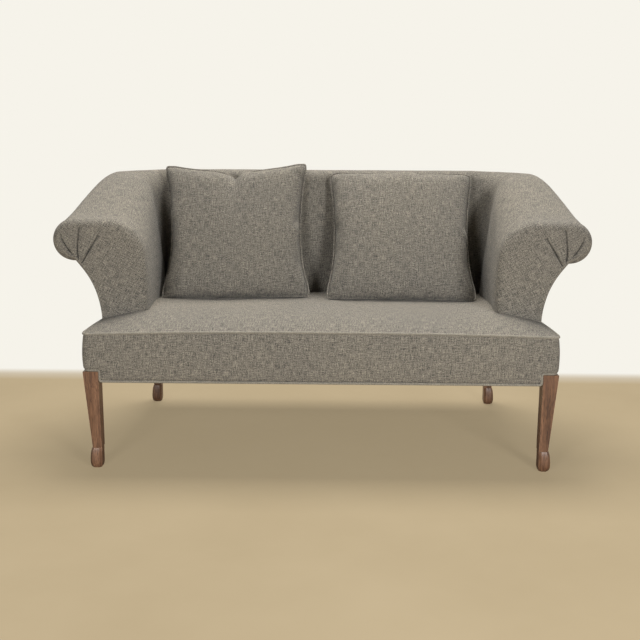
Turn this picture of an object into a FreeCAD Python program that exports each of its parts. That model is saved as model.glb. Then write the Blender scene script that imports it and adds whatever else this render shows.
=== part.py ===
import FreeCAD
import Part
import Sketcher
import math
import os

# A rolled arm settee in millimetres: a sprung wooden seat frame on four legs, a padded back that
# wraps round into flared rolled arms, and two loose pillows.
# +X runs to the right of someone facing the settee, the front faces -Y, +Z is up.
# The origin lies on the floor, under the middle of the whole settee.

SIZES = {
    # whole settee
    "overall_depth": 802,
    "arm_span": 1676,
    "back_height": 871,
    "arm_height": 737,
    # upholstered seat box, a trapezium in plan
    "seat_front_width": 1422,
    "seat_rear_width": 1322,
    "rear_overhang": 12,
    "band_bottom": 275,
    "band_top": 414,
    "band_edge": 9,
    "band_bulge": 6,
    "band_corner": 26,
    "seat_crown": 42,
    "seat_fall": 19,
    "seat_shoulder": 60,
    "frame_room": 8,
    "piping_radius": 4,
    "notch_height": 34,
    # cloth, padding and fits
    "fabric": 2,
    "clearance": 0.3,
    "pad_thickness": 22,
    # arms, at their front end and where they reach the back
    "arm_setback": 195,
    "facing_depth": 30,
    "facing_round": 24,
    "facing_inner_round": 26,
    "arm_base_inset": 12,
    "inner_width": 1136,
    "inner_taper": 30,
    "arm_swell": 18,
    "inner_rake": 2,
    "inner_rear_rake": -38,
    "arm_bulge": 5,
    "roll_radius": 66,
    "roll_rear_radius": 51,
    "roll_inset": 60,
    "roll_rear_drop": 6,
    "neck_front_angle": 92,
    "neck_rear_angle": 48,
    "shoulder_front": 115,
    "shoulder_rear": 98,
    # back
    "crest_radius": 46,
    "crest_thickness": 124,
    "crest_shoulder": 44,
    "neck_back_angle": 12,
    "back_rake": 27,
    "back_base_thickness": 145,
    "back_end_recess": 25,
    "back_bulge": 12,
    "corner_radius": 152,
    "corner_fullness": 10,
    "base_corner": 40,
    "crease_depth": 55,
    # pleats under the rolls
    "pleat_width": 1.6,
    "pleat_depth": 6,
    # wooden frame
    "rail_thickness": 28,
    "rail_bottom": 279,
    "rail_top": 385,
    "brace_width": 30,
    "brace_height": 50,
    "post_thickness": 28,
    "post_width": 26,
    "corner_post": 26,
    "center_post_width": 36,
    "tack_rail_height": 30,
    "tack_rail_thickness": 18,
    "tack_inset": 8,
    "tack_lift": 6,
    "post_setback": 4,
    "top_rail": 28,
    "block_length": 66,
    "block_height": 40,
    "block_bottom": 318,
    # legs
    "leg_inset": 5,
    "leg_top": 46,
    "leg_block": 32,
    "ankle_width": 27,
    "ankle_depth": 38,
    "foot_width": 35,
    "foot_depth": 46,
    "foot_height": 62,
    "foot_ledge": 2.5,
    "foot_round": 7,
    # fasteners
    "dowel_radius": 5,
    "dowel_length": 44,
    "screw_radius": 2.5,
    "screw_head_radius": 5,
    "screw_length": 48,
    # suspension
    "spring_count": 8,
    "spring_pitch": 144,
    "spring_wire": 4,
    "spring_loop": 44,
    "spring_step": 30,
    "clip_length": 20,
    "clip_width": 14,
    "clip_height": 8,
    "burlap": 1.5,
    "burlap_margin": 20,
    "burlap_hem": 5,
    "strap_width": 50,
    "strap_thickness": 2,
    "strap_count": 6,
    "strap_pitch": 180,
    "dust_cloth": 1.5,
    "dust_margin": 7,
    # loose pillows
    "pillow_width": 494,
    "pillow_height": 458,
    "pillow_thickness": 150,
    "pillow_draw": 12,
    "pillow_edge": 5,
    "pillow_welt": 3,
    "pillow_rest": 1,
    "left_pillow_x": -297,
    "left_pillow_lean": 22,
    "left_pillow_roll": 1.3,
    "right_pillow_x": 269,
    "right_pillow_lean": 27,
    "right_pillow_roll": -0.4,
}

doc = FreeCAD.newDocument("settee")
sheet = doc.addObject("Spreadsheet::Sheet", "Sizes")
for row, (alias, number) in enumerate(SIZES.items(), start=1):
    sheet.set("A%d" % row, alias)
    sheet.set("B%d" % row, str(number))
    sheet.setAlias("B%d" % row, alias)
doc.recompute()

nodes = []


def size(alias):
    """A driving dimension, read back from the sheet."""
    return float(sheet.get(alias))


def formula(text):
    """An expression whose {names} are cells of the sheet."""
    return text.replace("{", "Sizes.").replace("}", "")


def keep(piece, label):
    """Names a finished sub-part and lists it for writing."""
    piece.Label = label
    nodes.append(piece)
    return piece


def feature(name, shape):
    """A sub-part whose shape is worked out here from the sheet's sizes."""
    piece = doc.addObject("Part::Feature", name)
    piece.Shape = shape
    return piece


def mirror_right(piece, label):
    """The right-hand twin of a left-hand sub-part."""
    twin = doc.addObject("Part::Mirroring", label + "_twin")
    twin.Source = piece
    twin.Normal = FreeCAD.Vector(1, 0, 0)
    return keep(twin, label)


def box(name, corner, lengths):
    """A box whose corner and lengths are formulas."""
    piece = doc.addObject("Part::Box", name)
    for axis, text in zip("xyz", corner):
        piece.setExpression("Placement.Base." + axis, formula(text))
    for side, text in zip(("Length", "Width", "Height"), lengths):
        piece.setExpression(side, formula(text))
    return piece


def drilled(name, base, tool):
    """A sub-part with its fastener holes cut."""
    piece = doc.addObject("Part::Cut", name)
    piece.Base = base
    piece.Tool = tool
    return piece


def origin_plane(body, role):
    return next(f for f in body.Origin.OriginFeatures if f.Role == role)


def outline_sketch(body, name, height, corners):
    """A closed outline in a level plane of the body, every corner held by two formulas."""
    sketch = body.newObject("Sketcher::SketchObject", name)
    sketch.AttachmentSupport = [(origin_plane(body, "XY_Plane"), "")]
    sketch.MapMode = "FlatFace"
    sketch.setExpression("AttachmentOffset.Base.z", formula(height))
    count = len(corners)
    ring = [2 * math.pi * k / count for k in range(count + 1)]
    spots = [FreeCAD.Vector(math.cos(a), math.sin(a), 0) for a in ring]
    for k in range(count):
        sketch.addGeometry(Part.LineSegment(spots[k], spots[(k + 1) % count]))
    for k in range(count):
        sketch.addConstraint(Sketcher.Constraint("Coincident", k, 2, (k + 1) % count, 1))
    for k, corner in enumerate(corners):
        for kind, text in zip(("DistanceX", "DistanceY"), corner):
            held = sketch.addConstraint(Sketcher.Constraint(kind, -1, 1, k, 1, 1.0))
            sketch.setExpression("Constraints[%d]" % held, formula(text))
    return sketch


def pad_body(name, height, corners, thickness):
    """A plate or rail padded up from a level outline."""
    body = doc.addObject("PartDesign::Body", name)
    outline = outline_sketch(body, name + "_outline", height, corners)
    pad = body.newObject("PartDesign::Pad", name + "_pad")
    pad.Profile = outline
    pad.setExpression("Length", formula(thickness))
    return body


# Places of the frame, as formulas for the document and as numbers for the worked shapes

FRONT = "(-{overall_depth} / 2)"
BAND = "({band_edge} + {band_bulge})"
IN_FRONT = "(" + FRONT + " + " + BAND + ")"
IN_REAR = "({overall_depth} / 2 - {rear_overhang} - " + BAND + ")"
SIDE_SLOPE = "(({seat_front_width} - {seat_rear_width}) / 2 / ({overall_depth} - {rear_overhang}))"
FRONT_LEG_X = "({seat_front_width} / 2 - {leg_inset} - {leg_top})"
FRONT_LEG_Y = "(" + FRONT + " + {leg_inset} + {leg_top})"
REAR_LEG_X = "({seat_rear_width} / 2 - {leg_inset} - {leg_top})"
REAR_LEG_Y = "(" + IN_REAR + " - {clearance})"
NOTCH_TOP = "({band_bottom} + {notch_height})"
LEG_SHOW_TOP = "(" + NOTCH_TOP + " - 2 * {piping_radius} - {clearance})"
RAIL_HEIGHT = "({rail_top} - {rail_bottom})"
BURLAP_Z = "({rail_top} + {clip_height})"
CREST_Y = "({overall_depth} / 2 - {crest_radius})"
CREST_BOTTOM = "({back_height} - {crest_radius} - {top_rail} / 2)"


def side_at(y):
    """Formula for the half width inside the band at depth y."""
    return "({seat_front_width} / 2 - " + BAND + " - " + SIDE_SLOPE + " * (" + y + " - " + FRONT + "))"


front = -size("overall_depth") / 2
band = size("band_edge") + size("band_bulge")
rear = size("overall_depth") / 2 - size("rear_overhang")
in_front = front + band
in_rear = rear - band
front_leg_x = size("seat_front_width") / 2 - size("leg_inset") - size("leg_top")
front_leg_y = front + size("leg_inset") + size("leg_top")
rear_leg_x = size("seat_rear_width") / 2 - size("leg_inset") - size("leg_top")
rear_leg_y = in_rear - size("clearance")
rear_leg_front = rear_leg_y - size("leg_top")
notch_top = size("band_bottom") + size("notch_height")
pad_bottom = size("rail_top") + size("clip_height") + size("burlap")
arm_base = size("band_top") + 2 * size("piping_radius") + size("clearance")
arm_front = front + size("arm_setback")
arm_full = arm_front + size("facing_depth")
back_base = size("overall_depth") / 2 - size("back_rake")
side_slope = (size("seat_front_width") - size("seat_rear_width")) / 2 / (rear - front)


def side_x(y):
    """Half width of the seat box, measured at its bulge, at depth y."""
    return size("seat_front_width") / 2 - side_slope * (y - front)


def inner_side_x(y):
    """Half width inside the padded band at depth y."""
    return side_x(y) - band


corner_y = back_base - size("corner_radius")
corner_x = side_x(corner_y) - size("arm_base_inset") - size("corner_radius")


# Cross-sections of the arms and back: each lies in an upright plane and holds these measures
# outward across the wall (u) and up (z).


def smooth(t):
    return t * t * (3 - 2 * t)


def between(a, b, t):
    return a + (b - a) * t


SWELL_REACH = 0.6


def arm_section(t):
    """The arm's section, from its full front end (t = 0) to the back corner (t = 1)."""
    y = between(arm_full, corner_y, t)
    radius = between(size("roll_radius"), size("roll_rear_radius"), t ** 1.5)
    rear_top = size("back_height") - size("roll_rear_drop")
    top = between(size("arm_height"), rear_top, (t + 3 * smooth(t)) / 4)
    shoulder = between(size("shoulder_front"), size("shoulder_rear"), t ** 3)
    swell = size("arm_swell") * (1 - smooth(min(t / SWELL_REACH, 1)))
    inner = size("inner_width") / 2 + size("inner_taper") * t ** 3 - swell
    return {
        "base_out": side_x(y) - size("arm_base_inset"),
        "base_in": inner + between(size("inner_rake"), size("inner_rear_rake"), t * t),
        "roll_u": size("arm_span") / 2 - size("roll_radius") - size("roll_inset") * t ** 1.3,
        "roll_r": radius,
        "top": top,
        "neck": -between(size("neck_front_angle"), size("neck_rear_angle"), t * t),
        "inner": inner,
        "shoulder": shoulder,
        "bulge": size("arm_bulge"),
    }


def back_section(end):
    """The back's section at its middle (end = 0) or where it turns into an arm (end = 1)."""
    shift = corner_x - corner_y
    crest_out = size("overall_depth") / 2
    base_in = back_base - size("back_base_thickness") + size("back_end_recess") * end
    return {
        "base_out": back_base + shift,
        "base_in": base_in + shift,
        "roll_u": crest_out - size("crest_radius") + shift,
        "roll_r": size("crest_radius"),
        "top": size("back_height"),
        "neck": -size("neck_back_angle"),
        "inner": crest_out - size("crest_thickness") + shift,
        "shoulder": size("crest_shoulder"),
        "bulge": between(size("back_bulge"), size("arm_bulge"), end),
    }


def mixed(first, second, t):
    return {key: between(first[key], second[key], t) for key in first}


def base_reach(turn):
    """How much farther out the base stands at a turn round the corner than a fully round one."""
    full = size("corner_radius")
    small = size("base_corner")
    a = math.radians(min(turn, 90 - turn))
    if full * math.tan(a) <= full - small:
        return full / math.cos(a) - full
    centre = (full - small) * (math.cos(a) + math.sin(a))
    side = (full - small) * (math.cos(a) - math.sin(a))
    return centre + math.sqrt(small * small - side * side) - full


def corner_section(turn):
    """A section round the corner, turned from the arm (0) to the back (90 degrees): the two meet in
    a deep crease inside, over a nearly square base."""
    here = mixed(arm_section(1), back_section(1), smooth(turn / 90))
    crease = 1 - abs(turn - 45) / 45
    here["base_out"] += base_reach(turn)
    here["base_in"] += size("crease_depth") * crease
    here["inner"] += size("corner_fullness") * crease
    return here


def facing_section(q):
    """The arm front's rounded end: its flat face (q = 0) to the arm's full section (q = 1)."""
    drop = 1 - math.sqrt(1 - (1 - q) ** 2)
    edge = size("facing_round") * drop
    inner = size("facing_inner_round") * drop
    full = arm_section(0)
    full["base_out"] -= 0.15 * edge
    full["base_in"] += inner
    full["inner"] += inner
    full["roll_r"] -= edge
    full["shoulder"] -= edge
    full["top"] -= edge
    return full


def circles_meet(c1, r1, c2, r2, near):
    """The point nearest to near where two circles cross."""
    dx = c2[0] - c1[0]
    dz = c2[1] - c1[1]
    span = math.hypot(dx, dz)
    along = (r1 * r1 - r2 * r2 + span * span) / (2 * span)
    off = math.sqrt(max(r1 * r1 - along * along, 0))
    foot = (c1[0] + along * dx / span, c1[1] + along * dz / span)
    choices = [(foot[0] - s * off * dz / span, foot[1] + s * off * dx / span) for s in (1, -1)]
    return min(choices, key=lambda p: math.hypot(p[0] - near[0], p[1] - near[1]))


def on_circle(centre, radius, angle):
    return (centre[0] + radius * math.cos(angle), centre[1] + radius * math.sin(angle))


def angle_of(centre, point):
    return math.atan2(point[1] - centre[1], point[0] - centre[0])


def section_runs(s, inset):
    """The section's outline as runs of three points each (start, a point between, end), moved
    inward by inset: outside flare, two halves of the roll, top, shoulder, inside face."""
    roll = (s["roll_u"], s["top"] - s["roll_r"])
    neck = on_circle(roll, s["roll_r"], math.radians(s["neck"]))
    base = (s["base_out"], arm_base)
    wide = neck[0] - base[0]
    rise = neck[1] - base[1]
    flare = (wide * wide + rise * rise) / (2 * wide)
    flare_centre = (base[0] + flare, arm_base)
    roll_r = s["roll_r"] - inset
    shoulder_r = s["shoulder"] - inset
    shoulder = (s["inner"] + s["shoulder"], s["top"] - s["shoulder"])
    neck_in = circles_meet(flare_centre, flare + inset, roll, roll_r, neck)
    start = (base[0] - inset, arm_base)
    flare_mid = on_circle(flare_centre, flare + inset, (math.pi + angle_of(flare_centre, neck_in)) / 2)
    lean = math.atan2(shoulder[1] - roll[1], shoulder[0] - roll[0])
    span = math.hypot(shoulder[0] - roll[0], shoulder[1] - roll[1])
    top_angle = (lean - math.acos((s["roll_r"] - s["shoulder"]) / span)) % (2 * math.pi)
    neck_angle = angle_of(roll, neck_in)
    half = (neck_angle + top_angle) / 2
    roll_top = on_circle(roll, roll_r, top_angle)
    shoulder_top = on_circle(shoulder, shoulder_r, top_angle)
    foot = (s["base_in"] + inset, arm_base)
    reach = math.hypot(foot[0] - shoulder[0], foot[1] - shoulder[1])
    inner_angle = angle_of(shoulder, foot) - math.acos(shoulder_r / reach)
    inner_angle %= 2 * math.pi
    inner_top = on_circle(shoulder, shoulder_r, inner_angle)
    bulge = ((inner_top[0] + foot[0]) / 2 - s["bulge"], (inner_top[1] + foot[1]) / 2)
    return [
        (start, flare_mid, neck_in),
        (neck_in, on_circle(roll, roll_r, (neck_angle + half) / 2), on_circle(roll, roll_r, half)),
        (on_circle(roll, roll_r, half), on_circle(roll, roll_r, (half + top_angle) / 2), roll_top),
        (roll_top, None, shoulder_top),
        (shoulder_top, on_circle(shoulder, shoulder_r, (top_angle + inner_angle) / 2), inner_top),
        (inner_top, bulge, foot),
    ]


def reversed_runs(runs):
    return [(c, b, a) for a, b, c in reversed(runs)]


def closed_wire(runs, place):
    """A closed wire through runs of lines and arcs, its gaps closed by straight lines."""
    edges = []
    last = runs[-1][2]
    for a, b, c in runs:
        if math.dist(last, a) > 1e-6:
            edges.append(Part.LineSegment(place(last), place(a)).toShape())
        if b is None:
            edges.append(Part.LineSegment(place(a), place(c)).toShape())
        else:
            edges.append(Part.Arc(place(a), place(b), place(c)).toShape())
        last = c
    return Part.Wire(edges)


def arm_place(y):
    """Stands a section of the left arm upright at depth y."""
    return lambda p: FreeCAD.Vector(-p[0], y, p[1])


def corner_place(turn, side):
    """Stands a section on the left (side = -1) or right corner, turned from arm (0) to back (90)."""
    a = math.radians(turn)

    def place(p):
        out = p[0] - corner_x
        return FreeCAD.Vector(side * (corner_x + out * math.cos(a)), corner_y + out * math.sin(a), p[1])

    return place


def back_place(x):
    return lambda p: FreeCAD.Vector(x, p[0] - corner_x + corner_y, p[1])


ARM_STEPS = 4


def corner_span(first, last, side):
    """Stations round a quarter or half of a corner."""
    turns = (first, (first + last) / 2, last)
    return [(corner_section(turn), corner_place(turn, side)) for turn in turns]


def arm_station(t):
    return (arm_section(t), arm_place(between(arm_full, corner_y, t)))


arm_spans = [[arm_station(step / ARM_STEPS) for step in range(ARM_STEPS + 1)], corner_span(0, 45, -1)]
BACK_SHARES = ((-1, 1), (-0.5, 0.3), (0, 0), (0.5, 0.3), (1, 1))
back_row = [(back_section(end), back_place(share * corner_x)) for share, end in BACK_SHARES]
back_spans = [corner_span(45, 90, -1), back_row, corner_span(45, 90, 1)]

FACING_CUTS = (0, 0.25, 0.6, 1)
facing_span = []
for cut in FACING_CUTS:
    facing_span.append((facing_section(cut), arm_place(between(arm_front, arm_full, cut))))
facing_reach = facing_span + [arm_station(0.05)]


def loft(wires):
    return Part.makeLoft(wires, True, False)


def loft_spans(spans, section_wire):
    """One solid from spans of stations, each span lofted by itself."""
    solids = [loft([section_wire(*station) for station in span]) for span in spans]
    whole = solids[0]
    for more in solids[1:]:
        whole = whole.fuse(more)
    return whole


def envelope(spans, inset):
    """The whole wall as one closed solid, moved inward by inset."""
    return loft_spans(spans, lambda s, place: closed_wire(section_runs(s, inset), place))


def shortened(run):
    """A run whose end stops short of the next run by the clearance of a seam."""
    a, b, c = run
    share = size("clearance") / math.dist(b, c)
    return (a, b, (between(c[0], b[0], share), between(c[1], b[1], share)))


def layer(spans, first, last, outer, inner):
    """A sheet of the wall between two insets, over the outline's runs first to last."""

    def strip(s, place):
        sides = []
        for inset in (outer, inner):
            runs = section_runs(s, inset)[first:last]
            sides.append(runs[:-1] + [shortened(runs[-1])])
        return closed_wire(sides[0] + reversed_runs(sides[1]), place)

    return loft_spans(spans, strip)


FLARE_RUN = 0
INSIDE_RUNS = (1, 6)
cloth = size("fabric")
pad_outer = cloth + size("clearance")
pad_inner = pad_outer + size("pad_thickness")


# Upholstered wall: outside panels, inside covers and their padding


def upholster(spans, prefix, outside_label, inside_label):
    outside = layer(spans, FLARE_RUN, FLARE_RUN + 1, 0, cloth)
    inside = layer(spans, *INSIDE_RUNS, 0, cloth)
    padding = layer(spans, *INSIDE_RUNS, pad_outer, pad_inner)
    return [
        keep(feature(prefix + "_outside", outside), outside_label),
        keep(feature(prefix + "_inside", inside), inside_label),
        keep(feature(prefix + "_padding", padding), prefix + "_pad"),
    ]


arm_pieces = upholster(arm_spans, "left_arm", "left_outside_arm", "left_arm_cover")
for piece in arm_pieces:
    mirror_right(piece, piece.Label.replace("left_", "right_"))
upholster(back_spans, "back", "outside_back_panel", "inside_back_cover")


def pleat_cut(start, end):
    """A narrow straight groove in the arm's front, between two points given from the roll's centre."""
    roll_u = size("arm_span") / 2 - size("roll_radius")
    roll_z = size("arm_height") - size("roll_radius")
    length = math.dist(start, end)
    depth = size("pleat_depth")
    groove = Part.makeBox(length, 2 * depth, size("pleat_width"))
    turn = math.degrees(math.atan2(end[1] - start[1], start[0] - end[0]))
    spot = FreeCAD.Vector(-roll_u - start[0], arm_front - depth, roll_z + start[1])
    groove.Placement = FreeCAD.Placement(spot, FreeCAD.Rotation(FreeCAD.Vector(0, 1, 0), -turn))
    return groove


# Each pleat runs down to the neck under the roll: ends as shares of the roll's radius
PLEATS = (
    ((0.56, 0.28), (0.05, -0.62)),
    ((-0.35, 0.72), (-0.24, -0.80)),
    ((-1.20, 0.25), (-0.44, -0.95)),
)
wide = size("arm_span")
behind = Part.makeBox(wide, rear - arm_full, wide, FreeCAD.Vector(-wide, arm_full, 0))
facing = envelope([facing_reach], 0).cut(behind)
for ends in PLEATS:
    start, end = [(u * size("roll_radius"), z * size("roll_radius")) for u, z in ends]
    facing = facing.cut(pleat_cut(start, end))
left_facing = keep(feature("left_facing", facing), "left_arm_facing")
mirror_right(left_facing, "right_arm_facing")


# Wooden frame of the arms and back


def square_wire(centre, place):
    """The square section of a curved rail, centred on the roll."""
    r = size("top_rail") / 2
    u, z = centre
    runs = [((u - r, z - r), None, (u + r, z - r)), ((u + r, z + r), None, (u - r, z + r))]
    return closed_wire(runs, place)


def roll_centre(s):
    return (s["roll_u"], s["top"] - s["roll_r"])


post_back = arm_full + size("clearance") + size("post_thickness")
rail_start = (post_back - arm_full) / (corner_y - arm_full)
top_rail_wires = []
for step in range(ARM_STEPS + 1):
    section, place = arm_station(between(rail_start, 1, step / ARM_STEPS))
    top_rail_wires.append(square_wire(roll_centre(section), place))
left_top_rail = keep(feature("left_top_rail", loft(top_rail_wires)), "left_arm_top_rail")
mirror_right(left_top_rail, "right_arm_top_rail")

CORNER_STEPS = 4
corner_wires = []
for step in range(CORNER_STEPS + 1):
    centre = roll_centre(mixed(arm_section(1), back_section(1), smooth(step / CORNER_STEPS)))
    corner_wires.append(square_wire(centre, corner_place(90 * step / CORNER_STEPS, -1)))
left_crest = keep(feature("left_crest", loft(corner_wires)), "left_crest_corner")
mirror_right(left_crest, "right_crest_corner")


def front_post_outline():
    """The arm's front post: a board that follows the flare from the seat rail up into the roll."""
    arm = arm_section(rail_start)
    flare = section_runs(arm, cloth + 5 * size("clearance"))[0]
    inner_neck = section_runs(arm, pad_inner + size("clearance"))[0][2]
    edge = arm_points(flare)
    roll = roll_centre(arm)
    head = size("top_rail") / 2
    wide = 1.8 * size("post_width")
    foot_in = inner_side_x(post_back) - size("rail_thickness")
    tack = tack_rail_u()
    low = size("rail_top")
    return [
        (foot_in, low),
        (edge[0][0], low),
        *edge,
        inner_neck,
        (roll[0] + head, roll[1] - head),
        (roll[0] + head, roll[1] + head),
        (roll[0] - head, roll[1] + head),
        (inner_neck[0] - wide, inner_neck[1]),
        (flare[1][0] - wide, flare[1][1]),
        (tack, arm_base + 2 * size("tack_rail_height")),
        (tack, arm_base),
        (foot_in, arm_base),
    ]


def arm_points(flare):
    """Points up the flare, from its foot to three quarters of its length."""
    a, b, c = [FreeCAD.Vector(u, 0, z) for u, z in flare]
    curve = Part.Arc(a, b, c).toShape()
    points = curve.discretize(13)
    if points[0].z > points[-1].z:
        points.reverse()
    return [(point.x, point.z) for point in points[:10]]


def tack_rail_u():
    """Inner face of the arm's tack rail, clear of the padding all the way back."""
    return rear_leg_x + size("tack_inset")


def upright_board(outline, y, thickness):
    points = [FreeCAD.Vector(-u, y, z) for u, z in outline]
    face = Part.Face(Part.makePolygon(points + points[:1]))
    return face.extrude(FreeCAD.Vector(0, thickness, 0))


post_front = arm_full + size("clearance")
post_shape = upright_board(front_post_outline(), post_front, size("post_thickness"))
left_post = keep(feature("left_post", post_shape), "left_arm_front_post")
mirror_right(left_post, "right_arm_front_post")

CORNER_POST_X = "(" + REAR_LEG_X + " + {clearance})"
CORNER_POST_Y = "(" + CREST_Y + " - {top_rail} / 2 - {post_setback})"
CORNER_POST_TOP = "({back_height} - {roll_rear_drop} - {roll_rear_radius} - {top_rail} / 2)"
corner_stock = box(
    "corner_stock",
    ("-" + CORNER_POST_X + " - {corner_post}", CORNER_POST_Y, "{rail_top}"),
    ("{corner_post}", "{corner_post}", CORNER_POST_TOP + " - {rail_top}"),
)
left_corner = keep(drilled("left_corner", corner_stock, left_crest), "left_corner_post")
mirror_right(left_corner, "right_corner_post")

TACK_Z = "({band_top} + 2 * {piping_radius} + {clearance} + {tack_lift})"
POST_BACK = "(" + FRONT + " + {arm_setback} + {facing_depth} + {clearance} + {post_thickness})"
left_tack = box(
    "left_tack",
    ("-" + REAR_LEG_X + " - {tack_inset} - {tack_rail_thickness}", POST_BACK, TACK_Z),
    ("{tack_rail_thickness}", CORNER_POST_Y + " - " + POST_BACK, "{tack_rail_height}"),
)
keep(left_tack, "left_arm_tack_rail")
mirror_right(left_tack, "right_arm_tack_rail")

CREST_FACE = "(" + CREST_Y + " - {top_rail} / 2)"
CORNER_Y = "({overall_depth} / 2 - {back_rake} - {corner_radius})"
CREST_END = "(" + side_at(CORNER_Y) + " + " + BAND + " - {arm_base_inset} - {corner_radius})"
crest = box(
    "crest",
    ("-" + CREST_END, CREST_FACE, CREST_BOTTOM),
    ("2 * " + CREST_END, "{top_rail}", "{top_rail}"),
)
keep(crest, "crest_rail")

center_post = box(
    "center_post",
    ("-{center_post_width} / 2", CREST_FACE, "{rail_top}"),
    ("{center_post_width}", "{top_rail}", CREST_BOTTOM + " - {rail_top}"),
)
keep(center_post, "back_center_post")

HALF_TACK = "(" + CORNER_POST_X + " - {center_post_width} / 2)"
tack_left_half = box(
    "tack_left_half",
    ("-" + CORNER_POST_X, CREST_FACE, TACK_Z),
    (HALF_TACK, "{tack_rail_thickness}", "{tack_rail_height}"),
)
tack_right_half = box(
    "tack_right_half",
    ("{center_post_width} / 2", CREST_FACE, TACK_Z),
    (HALF_TACK, "{tack_rail_thickness}", "{tack_rail_height}"),
)
back_tack = doc.addObject("Part::Compound", "back_tack")
back_tack.Links = [tack_left_half, tack_right_half]
keep(back_tack, "back_tack_rail")


# Upright straps of webbing across the back, tacked to the front faces of its two rails


def back_straps():
    crest_face = size("overall_depth") / 2 - size("crest_radius") - size("top_rail") / 2
    low = arm_base + size("tack_lift")
    high = size("back_height") - size("crest_radius") + size("top_rail") / 2
    count = round(size("strap_count"))
    straps = []
    for k in range(count):
        x = (k - (count - 1) / 2) * size("strap_pitch") - size("strap_width") / 2
        spot = FreeCAD.Vector(x, crest_face - size("strap_thickness"), low)
        straps.append(Part.makeBox(size("strap_width"), size("strap_thickness"), high - low, spot))
    return Part.makeCompound(straps)


keep(feature("straps", back_straps()), "back_webbing")


# Seat frame: dowelled rails, glued and screwed corner blocks, four legs


def dowel(centre, direction):
    start = centre - direction * (size("dowel_length") / 2)
    return Part.makeCylinder(size("dowel_radius"), size("dowel_length"), start, direction)


def rail_dowels():
    """Two dowels in each end of every rail, at levels that miss one another inside the legs."""
    across = FreeCAD.Vector(1, 0, 0)
    along = FreeCAD.Vector(0, 1, 0)
    low = notch_top + 2 * size("dowel_radius")
    step = 3 * size("dowel_radius")
    half = size("rail_thickness") / 2
    side_front = inner_side_x(front_leg_y) - half
    side_rear = inner_side_x(rear_leg_front) - half
    pins = []
    for side in (-1, 1):
        for level in (low, low + 3 * step):
            pins.append(dowel(FreeCAD.Vector(side * front_leg_x, in_front + half, level), across))
            pins.append(dowel(FreeCAD.Vector(side * rear_leg_x, in_rear - half, level), across))
        for level in (low + step, low + 2 * step):
            pins.append(dowel(FreeCAD.Vector(side * side_front, front_leg_y, level), along))
            pins.append(dowel(FreeCAD.Vector(side * side_rear, rear_leg_front, level), along))
    return Part.makeCompound(pins)


dowels = keep(feature("dowels", rail_dowels()), "rail_dowels")

rail_back = in_front + size("rail_thickness")
rail_front = in_rear - size("rail_thickness")


def corner_block_outline(side, at_front):
    """A corner block's plan: it fills the corner between two rails beside the leg."""
    length = size("block_length")
    if at_front:
        rail_y, leg_x, leg_y, way = rail_back, front_leg_x, front_leg_y, 1
    else:
        rail_y, leg_x, leg_y, way = rail_front, rear_leg_x, rear_leg_front, -1
    side_in = inner_side_x(leg_y) - size("rail_thickness")
    far_y = leg_y + way * length
    far_x = inner_side_x(far_y) - size("rail_thickness")
    plan = [(leg_x - length, rail_y), (leg_x, rail_y), (leg_x, leg_y), (side_in, leg_y), (far_x, far_y)]
    return [FreeCAD.Vector(side * x, y, size("block_bottom")) for x, y in plan]


def screw(tip, direction):
    """A countersunk wood screw whose head end lies screw_length back from its tip."""
    start = tip - direction * size("screw_length")
    head = size("screw_head_radius")
    shank = Part.makeCylinder(size("screw_radius"), size("screw_length"), start, direction)
    return shank.fuse(Part.makeCone(head, size("screw_radius"), head, start, direction))


def driver_room(tip, direction):
    """The bore behind a screw's head."""
    reach = size("screw_length") / 2
    start = tip - direction * (size("screw_length") + reach)
    return Part.makeCylinder(size("screw_head_radius"), reach, start, direction)


def screw_places(side, at_front, points):
    """Tip and direction of the two screws in a corner block: into its long rail and its side rail."""
    middle = size("block_bottom") + size("block_height") / 2
    bite = size("rail_thickness") / 2
    way = -1 if at_front else 1
    x = abs(points[1].x) - 0.55 * size("block_length")
    y = points[2].y - way * 0.45 * size("block_length")
    face_x = inner_side_x(y) - size("rail_thickness")
    rail_y = points[0].y + way * bite
    return [
        (FreeCAD.Vector(side * x, rail_y, middle - bite / 2), FreeCAD.Vector(0, way, 0)),
        (FreeCAD.Vector(side * (face_x + bite), y, middle + bite / 2), FreeCAD.Vector(side, 0, 0)),
    ]


def corner_hardware():
    blocks = []
    screws = []
    rooms = []
    for side in (-1, 1):
        for at_front in (True, False):
            points = corner_block_outline(side, at_front)
            face = Part.Face(Part.makePolygon(points + points[:1]))
            blocks.append(face.extrude(FreeCAD.Vector(0, 0, size("block_height"))))
            for place in screw_places(side, at_front, points):
                screws.append(screw(*place))
                rooms.append(driver_room(*place))
    return blocks, screws, rooms


block_solids, screw_solids, room_solids = corner_hardware()
screws = keep(feature("screws", Part.makeCompound(screw_solids)), "corner_screws")
block_stock = feature("block_stock", Part.makeCompound(block_solids))
block_bores = feature("block_bores", Part.makeCompound(screw_solids + room_solids))
keep(drilled("blocks", block_stock, block_bores), "corner_blocks")
fasteners = doc.addObject("Part::Compound", "fasteners")
fasteners.Links = [dowels, screws]

front_stock = box(
    "front_stock",
    ("-" + FRONT_LEG_X, IN_FRONT, "{rail_bottom}"),
    ("2 * " + FRONT_LEG_X, "{rail_thickness}", RAIL_HEIGHT),
)
keep(drilled("front_rail", front_stock, fasteners), "front_seat_rail")

rear_stock = box(
    "rear_stock",
    ("-" + REAR_LEG_X, IN_REAR + " - {rail_thickness}", "{rail_bottom}"),
    ("2 * " + REAR_LEG_X, "{rail_thickness}", RAIL_HEIGHT),
)
keep(drilled("rear_rail", rear_stock, fasteners), "rear_seat_rail")


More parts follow.
